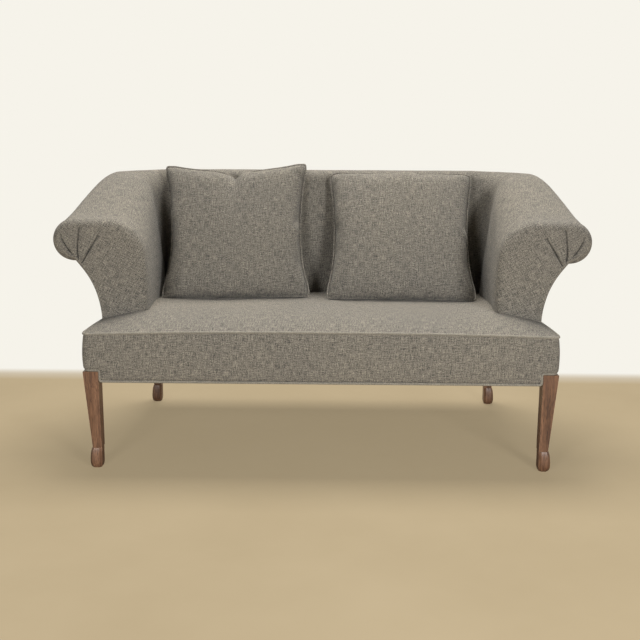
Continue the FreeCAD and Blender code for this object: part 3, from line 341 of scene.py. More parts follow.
facing_rows = left_facing_rows()
arm_row_list = left_arm_rows()
corner_row_list = left_corner_rows()
left_rows = facing_rows + arm_row_list + corner_row_list
wall = np.array(left_rows + back_rows() + mirrored(left_rows))
FULL_ROW = len(facing_rows)
LEFT_SEAM = FULL_ROW + len(arm_row_list) + CORNER_STEPS // 2 - 1
RIGHT_SEAM = len(wall) - 1 - LEFT_SEAM
RIGHT_FULL = len(wall) - 1 - FULL_ROW


# Small departures of stuffed cloth from its drawn shape


def soft_noise(points, scale, seed):
    """Smooth noise from -1 to 1 at points in millimetres; scale is the size of its lumps."""
    shift = Vector((seed * 17.3, seed * 5.1, seed * 9.7))
    return np.array([noise.noise(Vector(p) / scale + shift) for p in points])


def stuffing(points, layers):
    """Unevenness of hand-stuffed padding, from layers of lumps: depth, size and seed."""
    return sum(depth * soft_noise(points, scale, seed) for depth, scale, seed in layers)


WALL_LUMPS = ((1.6, 190, 1), (0.7, 70, 2))
FRONT_LUMPS = ((0.8, 60, 5),)
DECK_LUMPS = ((2.4, 230, 11), (0.8, 80, 12))
BAND_LUMPS = ((1.2, 120, 21), (0.5, 45, 22))
PUCKER_DEPTH = 0.9
PUCKER_STEP = 9.0
PUCKER_REACH = 22.0
PUCKER_SWAY = 3.0
SWAY_STEP = 60.0


def grid_normals(grid):
    along = np.gradient(grid, axis=0)
    across = np.gradient(grid, axis=1)
    n = np.cross(across, along)
    return n / np.maximum(np.linalg.norm(n, axis=2, keepdims=True), 1e-9)


def outward(grid, normals):
    """Normals turned away from the middle of the wall's own thickness."""
    middle = grid.mean(axis=1, keepdims=True)
    side = np.sign(((grid - middle) * normals).sum(axis=(1, 2), keepdims=True))
    return normals * side


def gauss(x):
    return np.exp(-x * x)


def unit(vectors):
    return vectors / np.linalg.norm(vectors, axis=-1, keepdims=True)


def arc_lengths(grid, axis):
    steps = np.linalg.norm(np.diff(grid, axis=axis), axis=2)
    lead = np.zeros_like(np.take(steps, [0], axis=axis))
    return np.concatenate([lead, np.cumsum(steps, axis=axis)], axis=axis)


wall_normals = outward(wall, grid_normals(wall))
wall_across = arc_lengths(wall, 1)
wall_along = arc_lengths(wall, 0)
crest_along = wall_along[:, NECK_COLUMN + RUN_STEPS[1]]


def dress_wall(grid, normals):
    """Adds the soft unevenness of hand-stuffed padding and puckers along the seam under the roll."""
    lumps = stuffing(grid.reshape(-1, 3), WALL_LUMPS).reshape(grid.shape[:2])
    neck = np.abs(wall_across - wall_across[:, [NECK_COLUMN]])
    along = crest_along[:, None]
    phase = along / PUCKER_STEP + PUCKER_SWAY * np.sin(along / SWAY_STEP)
    pucker = np.sin(phase) * gauss(neck / PUCKER_REACH) * PUCKER_DEPTH
    return grid + normals * (lumps + pucker)[:, :, None]


wall = dress_wall(wall, wall_normals)


# Mesh making


def link(obj):
    bpy.context.scene.collection.objects.link(obj)
    return obj


def mesh_piece(name, points, faces, uvs, painted_shade_highlights=None):
    """A smooth mesh from points in millimetres; uvs give the weave's place in metres for each corner
    of each face, the last argument a painted shade for each point, or below zero a painted highlight."""
    mesh = bpy.data.meshes.new(name)
    mesh.from_pydata([tuple(p) for p in np.asarray(points) * MM], [], [tuple(f) for f in faces])
    mesh.polygons.foreach_set("use_smooth", [True] * len(mesh.polygons))
    layer = mesh.uv_layers.new(name="weave")
    layer.uv.foreach_set("vector", np.asarray(uvs, np.float32).ravel())
    # painted shade (above zero) and painted highlight (below zero), kept as a point attribute
    if painted_shade_highlights is not None:
        attribute = mesh.attributes.new("painted_shade_highlight", "FLOAT", "POINT")
        attribute.data.foreach_set("value", np.asarray(painted_shade_highlights, np.float32))
    mesh.validate()
    mesh.update()
    return link(bpy.data.objects.new(name, mesh))


def grid_faces(rows, columns):
    faces = []
    for i in range(rows - 1):
        for j in range(columns - 1):
            a = i * columns + j
            faces.append((a, a + 1, a + columns + 1, a + columns))
    return faces


def corner_uvs(faces, coordinates):
    """Weave coordinates in metres for face corners, from one coordinate pair per point."""
    flat = np.concatenate([np.asarray(f) for f in faces])
    return np.asarray(coordinates)[flat] * MM


def grid_piece(name, grid, weave, painted_shade_highlights=None, flip=False):
    """A piece from a grid of points. Where its weave has a row or column more, the grid closes there."""
    rows, columns = grid.shape[:2]
    faces = []
    uvs = []
    for i in range(weave.shape[0] - 1):
        for j in range(weave.shape[1] - 1):
            corners = ((i, j), (i, j + 1), (i + 1, j + 1), (i + 1, j))[:: -1 if flip else 1]
            faces.append(tuple(r % rows * columns + c % columns for r, c in corners))
            uvs += [weave[corner] for corner in corners]
    return mesh_piece(name, grid.reshape(-1, 3), faces, np.array(uvs) * MM, painted_shade_highlights)


# Painted highlight: how much lighter the seat's cords are painted, given below zero
CORD_PAINTED_HIGHLIGHT = -0.18
CORD_SIDES = 10


def tube(name, path, radius, normals, wear=CORD_PAINTED_HIGHLIGHT):
    """A round cord along a closed path of points, its cloth wound once round it and painted lighter, a
    painted highlight.
    """
    ahead = unit(np.roll(path, -1, 0) - np.roll(path, 1, 0))
    out = unit(normals - (normals * ahead).sum(1, keepdims=True) * ahead)
    up = np.cross(ahead, out)
    turn = np.linspace(0, 2 * math.pi, CORD_SIDES, endpoint=False)[None, :, None]
    grid = path[:, None] + radius * (out[:, None] * np.cos(turn) + up[:, None] * np.sin(turn))
    steps = np.linalg.norm(np.diff(path, axis=0, append=path[:1]), axis=1)
    along = np.concatenate([[0], np.cumsum(steps)])
    around = 2 * math.pi * radius * np.arange(CORD_SIDES + 1) / CORD_SIDES
    weave = np.stack(np.meshgrid(along, around, indexing="ij"), 2)
    # the cord's whole surface gets the painted highlight value
    return grid_piece(name, grid, weave, np.full(len(path) * CORD_SIDES, wear))


# The arm's pleated front

PLEATS = (
    ((809, 690), (796, 658), (774.5, 627)),
    ((745, 726), (756, 662), (756.5, 613)),
    ((690, 688), (714, 651), (744, 602)),
)
PLEAT_DEPTH = 6.5
PLEAT_START = 0.55
PLEAT_GAIN = 0.6
TIP_START = 0.25
TIP_GAIN = 9.0
PLEAT_STEP = 2.5
GROOVE_WIDTH = 2.2
GROOVE_SHADE = 1.7
LAP_HEIGHT = 1.5
LAP_PLACE = 5.0
LAP_WIDTH = 4.5
DRAW_DEPTH = 1.6
DRAW_WIDTH = 9.0
FACE_STEP = 4.0
FINE_STEPS = (-6.5, -4, -2.4, -1.1, 0, 1.1, 2.4, 4, 6.5)
FINE_REACH = 8.0
EDGE_CLEAR = 1.6
FACE_FADE = 12.0
FACE_CROWN = 1.5
FACE_SLANT = math.radians(28)


def pleat_line(points, step):
    """Points along a pleat, smoothed through its middle point."""
    a, b, c = [np.array(p, float) for p in points]
    count = max(4, int((math.dist(a, b) + math.dist(b, c)) / step))
    t = np.linspace(0, 1, count + 1)[:, None]
    middle = 2 * b - (a + c) / 2
    return (1 - t) ** 2 * a + 2 * t * (1 - t) * middle + t * t * c


PLEAT_LINES = [pleat_line(p, PLEAT_STEP) for p in PLEATS]


def pleat_depth(u, z):
    """How far the cloth dips or swells at places of the arm's front, and how much painted shade falls in its
    fold grooves.
    """
    place = np.stack([u, z], 1)
    dip = np.zeros(len(place))
    dark = np.zeros(len(place))
    for line in PLEAT_LINES:
        gaps = np.linalg.norm(place[:, None] - line[None], axis=2)
        nearest = gaps.argmin(1)
        gap = gaps[np.arange(len(place)), nearest]
        share = nearest / (len(line) - 1)
        way = line[-1] - line[0]
        side = np.sign(way[0] * (place[:, 1] - line[0][1]) - way[1] * (place[:, 0] - line[0][0]))
        strength = np.clip(PLEAT_START + PLEAT_GAIN * share, 0, 1)
        strength *= np.clip(TIP_START + TIP_GAIN * share, 0, 1)
        groove = gauss(gap / GROOVE_WIDTH)
        lap = gauss((gap - LAP_PLACE) / LAP_WIDTH) * (side > 0)
        dip += strength * (-PLEAT_DEPTH * groove + LAP_HEIGHT * lap - DRAW_DEPTH * gauss(gap / DRAW_WIDTH))
        # painted shade along each pleat's groove
        dark = np.maximum(dark, strength * gauss(gap / GROOVE_SHADE))
    return dip, dark


def inside(polygon, points):
    """Which points lie inside a closed polygon."""
    x, y = points[:, 0], points[:, 1]
    hit = np.zeros(len(points), bool)
    for (x1, y1), (x2, y2) in zip(polygon, np.roll(polygon, -1, 0)):
        crosses = (y1 > y) != (y2 > y)
        at = x1 + (y - y1) * (x2 - x1) / np.where(y2 == y1, 1e-9, y2 - y1)
        hit ^= crosses & (x < at)
    return hit


def face_points(edge):
    """Points that fill the arm's flat front: an even grid, finer along the pleats."""
    polygon = np.asarray(edge)
    low, high = polygon.min(0), polygon.max(0)
    us, zs = np.meshgrid(*[np.arange(low[k] + FACE_STEP, high[k], FACE_STEP) for k in (0, 1)])
    even = np.stack([us.ravel(), zs.ravel()], 1)
    fine = []
    for line in PLEAT_LINES:
        ahead = unit(np.gradient(line, axis=0))
        across = np.stack([-ahead[:, 1], ahead[:, 0]], 1)
        fine += [line + off * across for off in FINE_STEPS]
    fine = np.concatenate(fine)
    lines = np.concatenate(PLEAT_LINES)
    far = np.linalg.norm(even[:, None] - lines[None], axis=2).min(1) > FINE_REACH
    every = np.concatenate([fine, even[far]])
    clear = np.linalg.norm(every[:, None] - polygon[None], axis=2).min(1) > EDGE_CLEAR
    return every[clear & inside(polygon, every)]


def fill_front(edge):
    """Triangles that fill a closed outline; its points come first and keep their order."""
    points = np.concatenate([edge, face_points(edge)])
    loop = [(k, (k + 1) % len(edge)) for k in range(len(edge))]
    done = delaunay_2d_cdt([Vector(p) for p in points], loop, [], 1, 1e-5)
    return np.array([tuple(p) for p in done[0]]), [tuple(f) for f in done[2]], done[3]


def arm_front_mesh(rows):
    """Points and faces of the left arm's front and its rounded edge, and how many faces fill it."""
    first = rows[0]
    edge = np.stack([-first[:, 0], first[:, 2]], 1)
    flat, triangles, sources = fill_front(edge)
    columns = len(first)
    order = {k: new for new, old in enumerate(sources) for k in old}
    count = len(rows)
    extra = [new for new in range(len(flat)) if not any(k < columns for k in sources[new])]
    lookup = {new: columns * count + k for k, new in enumerate(extra)}
    for k in range(columns):
        lookup[order[k]] = k
    depth_at_edge = first[:, 1].mean()
    middle = np.stack([-flat[extra, 0], np.full(len(extra), depth_at_edge), flat[extra, 1]], 1)
    points = np.concatenate([*rows, middle])
    faces = [tuple(lookup[k] for k in f[::-1]) for f in triangles]
    faces += grid_faces(count, columns)
    return points, faces, len(triangles)


def dress_front(points):
    """Crowns the arm's front a little and sinks its pleats."""
    u = -points[:, 0]
    z = points[:, 2]
    dip, dark = pleat_depth(u, z)
    weight = np.clip((ARM_FULL - points[:, 1]) / FACE_FADE, 0, 1)
    lumps = stuffing(points, FRONT_LUMPS)
    moved = points.copy()
    moved[:, 1] -= weight * (dip + lumps + FACE_CROWN)
    # the pleats' painted shade, faded out towards the edge like the dip
    return moved, dark * weight


def slanted_weave(points):
    """Weave places on the arm's front, where the cloth is laid on at a slant."""
    lean, rise = math.sin(FACE_SLANT), math.cos(FACE_SLANT)
    return np.stack([
        -points[:, 0] * rise + points[:, 2] * lean,
        points[:, 0] * lean + points[:, 2] * rise,
    ], 1)


def swept_weave(count, start):
    """Weave places along and across the left arm, for its front rows and for its points after a start."""
    swept = np.zeros((count, 2))
    front = (FULL_ROW + 1) * COLUMNS
    swept[:front, 0] = np.repeat(crest_along[: FULL_ROW + 1], COLUMNS)
    swept[:front, 1] = wall_across[: FULL_ROW + 1].ravel()
    rest = slice(FULL_ROW + 1, LEFT_SEAM + 1)
    swept[start:, 0] = np.repeat(crest_along[rest], COLUMNS - NECK_COLUMN)
    swept[start:, 1] = wall_across[rest, NECK_COLUMN:].ravel()
    return swept


def other_hand(points, faces, uvs):
    """The same mesh mirrored left to right, its faces still turned outward."""
    order = []
    spot = 0
    for f in faces:
        order += list(range(spot + len(f) - 1, spot - 1, -1))
        spot += len(f)
    return points * np.array([-1, 1, 1]), [f[::-1] for f in faces], uvs[order]


def arm_piece(side):
    """One arm's cover: pleated front, rolled top and inside face, back to the seam in the corner."""
    points, faces, fan = arm_front_mesh(list(wall[: FULL_ROW + 1]))
    points, dark = dress_front(points)
    rest = wall[FULL_ROW : LEFT_SEAM + 1, NECK_COLUMN:]
    start = len(points)
    rest_columns = rest.shape[1]
    joined = {start + j: FULL_ROW * COLUMNS + NECK_COLUMN + j for j in range(rest_columns)}
    rest_faces = []
    for face in grid_faces(*rest.shape[:2]):
        rest_faces.append(tuple(joined.get(start + k, start + k - rest_columns) for k in face))
    points = np.concatenate([points, rest[1:].reshape(-1, 3)])
    dark = np.concatenate([dark, np.zeros(len(points) - len(dark))])
    slanted = fan + (len(faces) - fan) * 2 // 3
    uvs = np.concatenate([
        corner_uvs(faces[:slanted], slanted_weave(points)),
        corner_uvs(faces[slanted:] + rest_faces, swept_weave(len(points), start)),
    ])
    faces = faces + rest_faces
    if side > 0:
        points, faces, uvs = other_hand(points, faces, uvs)
    name = "left_arm_cloth" if side < 0 else "right_arm_cloth"
    # the pleats' painted shade goes onto the arm's cloth
    piece = mesh_piece(name, points, faces, uvs, dark)
    seam = list(range(len(points) - rest_columns, len(points)))
    return piece, seam


def wall_weave(rows, columns):
    along = np.repeat(crest_along[rows][:, None], columns.stop - columns.start, axis=1)
    return np.stack([along, wall_across[rows, columns]], 2)


def wall_strip(name, rows, columns):
    return grid_piece(name, wall[rows, columns], wall_weave(rows, columns))


left_arm, left_seam = arm_piece(-1)
right_arm, right_seam = arm_piece(1)
COVER = slice(NECK_COLUMN, COLUMNS)
PANEL = slice(0, NECK_COLUMN + 1)
inside_back = wall_strip("inside_back_cloth", slice(LEFT_SEAM, RIGHT_SEAM + 1), COVER)
left_outside = wall_strip("left_outside_arm_cloth", slice(FULL_ROW, LEFT_SEAM + 1), PANEL)
right_outside = wall_strip("right_outside_arm_cloth", slice(RIGHT_SEAM, RIGHT_FULL + 1), PANEL)
outside_back = wall_strip("outside_back_cloth", slice(LEFT_SEAM, RIGHT_SEAM + 1), PANEL)


def vertex_normals(piece):
    normals = np.zeros(len(piece.data.vertices) * 3, np.float32)
    piece.data.vertex_normals.foreach_get("vector", normals)
    return normals.reshape(-1, 3)


def share_normals(joins):
    """Gives touching pieces the same shading where they are sewn together."""
    normals = {}
    for one, _, two, _ in joins:
        for piece in (one, two):
            if piece.name not in normals:
                normals[piece.name] = (piece, vertex_normals(piece))
    for one, ids_one, two, ids_two in joins:
        a = normals[one.name][1]
        b = normals[two.name][1]
        mean = unit(a[ids_one] + b[ids_two])
        a[ids_one] = mean
        b[ids_two] = mean
    for piece, values in normals.values():
        piece.data.normals_split_custom_set_from_vertices([tuple(v) for v in values])


cover_columns = COLUMNS - NECK_COLUMN
back_count = (RIGHT_SEAM - LEFT_SEAM + 1) * cover_columns
share_normals([
    (left_arm, left_seam, inside_back, list(range(cover_columns))),
    (right_arm, right_seam, inside_back, list(range(back_count - cover_columns, back_count))),
])


# The seat box: deck, band and cords


BOW_RISE = 6.0
BOW_FALL = 10.0
BOW_HALF = 700.0
SIDE_DROP = 4.0
SIDE_REACH = 150.0
FRONT_REACH = 30.0
CREST_AT = 0.25
FRONT_FADE = 0.22
LIP_RISE = 4.0
LIP_REACH = 0.1
SHOULDER_SHARE = 0.8
SWELL_PLACE = (0.42, 0.52)
FRONT_TUCK = (0, 5, 3)
LUMP_FADE = 40.0
SIDE_STEPS = 18
ACROSS_STEPS = 120
NEAR_STEPS = 30
FAR_STEPS = 44


def front_bow(x):
    """How far the seat's front edge stands above its level: it bows up in the middle."""
    return BOW_RISE - BOW_FALL * (np.abs(x) / BOW_HALF) ** 2.5


def piping_lift(x, y):
    """How far the top cord stands above or below its level."""
    side = -SIDE_DROP * np.clip(1 - (y - FRONT) / SIDE_REACH, 0, 1) ** 2
    return np.where(y < FRONT + FRONT_REACH, front_bow(x), side)


def seat_height(f):
    """Level of the seat's middle along its depth: a round front edge, a crown, a fall to the rear."""
    if f < CREST_AT:
        return BAND_TOP + SEAT_LIP + (SEAT_CROWN - SEAT_LIP) * (1 - (1 - f / CREST_AT) ** 3)
    return BAND_TOP + SEAT_CROWN - SEAT_FALL * ((f - CREST_AT) / (1 - CREST_AT)) ** 1.2


def deck_row(f):
    """A section of the seat's crown at a share of its depth."""
    y = between(IN_FRONT, IN_REAR, f)
    x = side_x(y) - DECK_INSET
    low = BAND_TOP + SEAT_LIP + LIP_RISE * smooth(min(f / LIP_REACH, 1))
    top = seat_height(f)
    shoulder = low + SHOULDER_SHARE * (top - low)
    swell = (-x + SWELL_PLACE[0] * SEAT_SHOULDER, low + SWELL_PLACE[1] * (shoulder - low))
    side = arc_through((-x, low), swell, (-x + SEAT_SHOULDER, shoulder), SIDE_STEPS)
    ends = [(end * (x - SEAT_SHOULDER), shoulder) for end in (-1, 1)]
    across = arc_through(ends[0], (0, top), ends[1], ACROSS_STEPS)
    other = [(-u, z) for u, z in side[::-1]]
    points = np.array(side[:-1] + across + other[1:])
    return np.stack([points[:, 0], np.full(len(points), y), points[:, 1]], 1)


def deck_shares():
    near = [CREST_AT * (k / NEAR_STEPS) ** 1.6 for k in range(NEAR_STEPS + 1)]
    far = [CREST_AT + (1 - CREST_AT) * k / FAR_STEPS for k in range(1, FAR_STEPS + 1)]
    return near + far


def seat_deck():
    grid = np.array([deck_row(f) for f in deck_shares()])
    front = (grid[..., 1] - IN_FRONT) / (IN_REAR - IN_FRONT)
    fade = np.clip(1 - front / FRONT_FADE, 0, 1) ** 2
    grid[..., 2] += fade * front_bow(grid[..., 0])
    tuck = grid[0] - np.array(FRONT_TUCK)
    grid = np.concatenate([tuck[None], grid])
    lumps = stuffing(grid.reshape(-1, 3), DECK_LUMPS).reshape(grid.shape[:2])
    grid[..., 2] += lumps * np.clip((grid[..., 1] - IN_FRONT) / LUMP_FADE, 0, 1)
    weave = np.stack([arc_lengths(grid, 1) - FRONT_HALF, arc_lengths(grid, 0)], 2)
    return grid_piece("seat_deck_cloth", grid, weave)


deck = seat_deck()


def box_loop(inset, columns_at):
    """Plan of the seat box as a closed loop from the front's middle, turning right: points, outward
    directions and distances along it, for an even spacing made finer at given distances."""
    y0, y1 = FRONT, REAR
    plan = ((side_x(y0), y0), (side_x(y1), y1), (-side_x(y1), y1), (-side_x(y0), y0))
    corners = [np.array(p) for p in plan]
    runs = []
    spot = np.array([0.0, y0])
    for k, corner in enumerate(corners):
        before = spot if k == 0 else corners[k - 1]
        after = corners[(k + 1) % 4]
        back_way = unit(before - corner)
        on_way = unit(after - corner)
        half = math.acos(float(np.clip(back_way @ on_way, -1, 1))) / 2
        reach = BAND_CORNER / math.tan(half)
        centre = corner + unit(back_way + on_way) * (BAND_CORNER / math.sin(half))
        start = corner + back_way * reach
        end = corner + on_way * reach
        runs.append(("line", spot, start))
        runs.append(("arc", centre, start, end))
        spot = end
    runs.append(("line", spot, np.array([0.0, y0])))
    return sample_loop(runs, inset, columns_at)


def run_length(run):
    if run[0] == "line":
        return float(np.linalg.norm(run[2] - run[1]))
    a = run[2] - run[1]
    b = run[3] - run[1]
    return BAND_CORNER * math.acos(float(np.clip(a @ b / BAND_CORNER ** 2, -1, 1)))


def sample_loop(runs, inset, columns_at):
    lengths = [run_length(run) for run in runs]
    total = sum(lengths)
    stations = columns_at(lengths, total)
    points = []
    outs = []
    starts = np.concatenate([[0], np.cumsum(lengths)])
    for s in stations:
        k = min(int(np.searchsorted(starts, s, side="right")) - 1, len(runs) - 1)
        t = (s - starts[k]) / lengths[k]
        run = runs[k]
        if run[0] == "line":
            way = (run[2] - run[1]) / lengths[k]
            out = np.array([way[1], -way[0]])
            here = run[1] + (run[2] - run[1]) * t
        else:
            a = angle_of(run[1], run[2])
            b = a + ((angle_of(run[1], run[3]) - a + math.pi) % (2 * math.pi) - math.pi)
            out = np.array([math.cos(between(a, b, t)), math.sin(between(a, b, t))])
            here = run[1] + BAND_CORNER * out
        points.append(here - inset * out)
        outs.append(out)
    return np.array(points), np.array(outs), np.array(stations), total


NOTCH_SEARCH = 0.5


def notch_spans():
    """Distances along the seat box's loop where the band is cut away over each leg."""
    grow = 2 * PIPING + CLEARANCE
    points, _, stations, _ = box_loop(0, lambda lengths, total: np.arange(0, total, NOTCH_SEARCH))
    x, y = points.T
    over = (
        (x > FRONT_LEG[0] - grow) & (y < FRONT_LEG[1] + grow),
        (x > REAR_LEG[0] - grow) & (y > REAR_LEG[1] - grow),
        (x < grow - REAR_LEG[0]) & (y > REAR_LEG[1] - grow),
        (x < grow - FRONT_LEG[0]) & (y < FRONT_LEG[1] + grow),
    )
    return [(stations[mask].min(), stations[mask].max()) for mask in over]


NOTCHES = notch_spans()
NOTCH_ROUND = 5.0
BAND_STEP = 9.0
LEG_STEP = 3.0
NOTCH_REACH = 8.0
NOTCH_STEP = 0.8
NOTCH_EDGE = 0.05
LEAST_STEP = 0.06


def band_stations(lengths, total):
    """Distances along the loop for the band's columns, close together at the notches' corners."""
    marks = list(np.arange(0, total, BAND_STEP))
    for low, high in NOTCHES:
        for edge in (low, high):
            marks += list(np.arange(edge - NOTCH_REACH, edge + NOTCH_REACH, NOTCH_STEP))
            marks += [edge - NOTCH_EDGE, edge + NOTCH_EDGE]
        marks += list(np.arange(low, high, LEG_STEP))
    marks = np.unique(np.round(np.mod(marks, total), 3))
    keep = np.concatenate([[True], np.diff(marks) > LEAST_STEP])
    return marks[keep]


def band_lower(s):
    """Level of the band's lower edge at a distance along the loop, with rounded notches."""
    r = NOTCH_ROUND
    for low, high in NOTCHES:
        gap = min(s - low, high - s)
        if gap >= r:
            return NOTCH_TOP
        if gap >= 0:
            return NOTCH_TOP - r + math.sqrt(max(r * r - (r - gap) ** 2, 0))
        if gap > -r:
            return BAND_BOTTOM + r - math.sqrt(max(r * r - (gap + r) ** 2, 0))
    return BAND_BOTTOM


BAND_ROWS = 26
EDGE_CURL = 1.2
EDGE_CALM = 0.3
HEM_TURN = 2.0
HEM_LIFT = 1.0


def seat_band():
    points, outs, stations, total = box_loop(0, band_stations)
    lowers = np.array([band_lower(s) for s in stations])
    tops = BAND_TOP + HEM_LIFT + piping_lift(points[:, 0], points[:, 1])
    rows = []
    for k in range(BAND_ROWS + 1):
        h = k / BAND_ROWS
        z = between(lowers, tops, h)
        level = (z - BAND_BOTTOM) / (BAND_TOP - BAND_BOTTOM)
        inset = BAND_BULGE * (2 * level - 1) ** 2
        edge = np.maximum(0, 1 - np.minimum(h, 1 - h) * BAND_ROWS / 2) ** 2
        inset = inset + EDGE_CURL * edge
        plan = points - outs * inset[:, None]
        rows.append(np.column_stack([plan, z]))
    inner = np.column_stack([points - outs * (BAND - HEM_TURN), lowers + HEM_LIFT])
    grid = np.array([inner] + rows)
    wave = stuffing(grid.reshape(-1, 3), BAND_LUMPS).reshape(grid.shape[:2])
    wave[:2] *= EDGE_CALM
    wave[-1] *= EDGE_CALM
    grid[..., :2] += outs[None] * wave[..., None]
    weave = np.stack([np.broadcast_to(stations, grid.shape[:2]), grid[..., 2]], 2)
    closed = np.concatenate([weave, weave[:, :1] + (total, 0)], 1)
    return grid_piece("seat_band_cloth", grid, closed)


band_piece = seat_band()


def even_stations(step):
    return lambda lengths, total: np.arange(0, total - step / 2, step)


CORD_STEP = 6.0
WELT_ROUND = 7.0
WELT_STEP = 7.0
WELT_TUCK = 1.5
BEND_POINTS = 7


def top_piping():
    points, outs = box_loop(BAND_BULGE, even_stations(CORD_STEP))[:2]
    z = BAND_TOP + PIPING + piping_lift(points[:, 0], points[:, 1])
    path = np.column_stack([points, z])
    return tube("seat_piping_cord", path, PIPING, np.column_stack([outs, np.zeros(len(outs))]))


piping = top_piping()


def welt_route():
    """The bottom cord's route as distances along the loop and levels."""
    low = BAND_BOTTOM - PIPING
    high = NOTCH_TOP - PIPING
    route = []
    for start, end in NOTCHES:
        route += [(start + PIPING, low), (start + PIPING, high), (end - PIPING, high), (end - PIPING, low)]
    return route


def rounded_route(route, total, radius, step):
    """A closed route of level and upright runs with rounded corners, sampled."""
    samples = []
    count = len(route)
    for k in range(count):
        before = np.array(route[k - 1]) - (np.array([total, 0]) if k == 0 else 0)
        here = np.array(route[k])
        after = np.array(route[(k + 1) % count]) + (np.array([total, 0]) if k == count - 1 else 0)
        a = here + unit(before - here) * radius
        b = here + unit(after - here) * radius
        for t in np.linspace(0, 1, BEND_POINTS):
            samples.append((1 - t) ** 2 * a + 2 * t * (1 - t) * here + t * t * b)
        far = after + unit(here - after) * radius
        pieces = max(1, int(np.linalg.norm(far - b) / step))
        for t in np.linspace(0, 1, pieces + 1)[1:-1]:
            samples.append(b + (far - b) * t)
    return np.array(samples)


def bottom_welt():
    total = box_loop(0, even_stations(CORD_STEP))[3]
    route = rounded_route(welt_route(), total, WELT_ROUND, WELT_STEP)
    places = np.mod(route[:, 0], total)
    points, outs = box_loop(BAND_BULGE + PIPING - WELT_TUCK, lambda lengths, whole: places)[:2]
    path = np.column_stack([points, route[:, 1]])
    return tube("bottom_welt_cord", path, PIPING, np.column_stack([outs, np.zeros(len(outs))]))


welt = bottom_welt()


DUST_CELLS = (60, 40)
DUST_SAG = 5.0
DUST_LIFT = 0.7


def dust_sheet():
    """The cloth tacked under the seat frame, sagging a little between its edges."""
    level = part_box("dust_cover")[0].z / MM
    rows = []
    for v in np.linspace(0, 1, DUST_CELLS[1]):
        y = between(IN_FRONT + DUST_MARGIN, IN_REAR - DUST_MARGIN, v)
        half = between(FRONT_LEG[0], REAR_LEG[0], v) - DUST_MARGIN
        xs = np.linspace(-half, half, DUST_CELLS[0])
        sag = DUST_SAG * (1 - (xs / half) ** 2) * 4 * v * (1 - v)
        rows.append(np.column_stack([xs, np.full(len(xs), y), level + DUST_LIFT - sag]))
    grid = np.array(rows)
    return grid_piece("dust_sheet", grid, grid[..., :2].copy(), flip=True)


dust = dust_sheet()


# Loose pillows, blown up by cloth simulation from two flat sheets sewn at the edge

PILLOW_WIDTH = 506.0
PILLOW_HEIGHT = 464.0
PILLOW_FULL = 150.0
PILLOW_CORD = 3.2
CORD_SEATING = 0.6
PILLOW_CELLS = (60, 56)
SIM_FRAMES = 24
LOWER_SPREAD = 9.0
EAR = 34.0
EAR_DRAW = 0.3
SINK = 9.0
REST_GAP = 1.0
SHEET_PARTING = 26.0
BACK_WEAVE = 3000.0
SEAM_GAP = 0.3
HUG_POWER = 0.8
HUG_LEAN = 0.25
DIP_POWER = 0.7
BLOWN_POWER = 0.7
CROWN_POWER = 0.36
CROWN_SHARE = 0.5
FULLNESS = 1.03
FULLNESS_LOSS = 0.06
STRIKE_REACH = 30.0
STRIKE_THINNING = 0.3
CREASE_FADE = 0.8
CREASE_FLOOR = 0.3
CREASE_SHADE = 20.0
# Each pillow's seam from its lower to its upper middle, the height of its corners, how far its left, right
# and upper sides draw in, how deep its top is struck, and its creases: start, end, depth and width
PILLOWS = {
    "left_pillow": {
        "bottom": (-296.925, 74.254, 451.306),
        "top": (-307.466, 248.252, 881.964),
        "height": 477.0,
        "draw": (38.0, 36.0, 32.0),
        "chop": 34.0,
        "creases": (
            ((-0.98, -0.93), (-0.82, -0.72), 7.0, 6.5),
            ((0.98, -0.88), (0.74, -0.80), 5.0, 6.5),
            ((0.99, 0.72), (0.80, 0.97), 7.0, 7.0),
            ((0.0, 1.0), (0.05, 0.80), 7.0, 7.0),
        ),
    },
    "right_pillow": {
        "bottom": (268.977, 45.714, 450.562),
        "top": (272.22, 256.633, 864.513),
        "height": 459.0,
        "draw": (30.0, 33.0, 5.0),
        "chop": 0.0,
        "creases": (
            ((1.0, -0.17), (0.78, 0.03), 9.0, 7.0),
            ((-0.97, -0.88), (-0.78, -0.66), 6.0, 6.5),
            ((-0.99, 0.74), (-0.78, 0.97), 5.0, 7.0),
            ((-1.0, 0.20), (-0.82, 0.32), 5.0, 6.5),
        ),
    },
}


def sewn_sheets():
    """Two sheets that share their edge points, slightly parted: points, their cells, faces, weave and
    edge loop."""
    nx, nz = PILLOW_CELLS

    def key(i, k, layer):
        return (i, k, 0 if i in (0, nx) or k in (0, nz) else layer)

    points = []
    cells = []
    weave = []
    index = {}
    for layer in (1, -1):
        for i in range(nx + 1):
            for k in range(nz + 1):
                spot = key(i, k, layer)
                if spot in index:
                    continue
                index[spot] = len(points)
                cells.append((i, k))
                x = (i / nx - 0.5) * PILLOW_WIDTH
                z = (k / nz - 0.5) * PILLOW_HEIGHT
                part = math.sin(math.pi * i / nx) * math.sin(math.pi * k / nz)
                points.append((x, -spot[2] * SHEET_PARTING * part ** 0.6, z))
                weave.append((x + (0 if layer > 0 else BACK_WEAVE), z))
    faces = []
    for layer in (1, -1):
        for i in range(nx):
            for k in range(nz):
                corners = ((i, k), (i + 1, k), (i + 1, k + 1), (i, k + 1))[::layer]
                faces.append(tuple(index[key(a, b, layer)] for a, b in corners))
    loop = [(i, 0) for i in range(nx)] + [(nx, k) for k in range(nz)]
    loop += [(i, nz) for i in range(nx, 0, -1)] + [(0, k) for k in range(nz, 0, -1)]
    edge = [index[(i, k, 0)] for i, k in loop]
    return np.array(points), np.array(cells), faces, np.array(weave), edge


CLOTH_SETTINGS = {
    "quality": 6,
    "mass": 0.35,
    "tension_stiffness": 22,
    "compression_stiffness": 16,
    "shear_stiffness": 6,
    "bending_stiffness": 1.2,
    "air_damping": 6,
    "use_pressure": True,
    "uniform_pressure_force": 2.5,
}


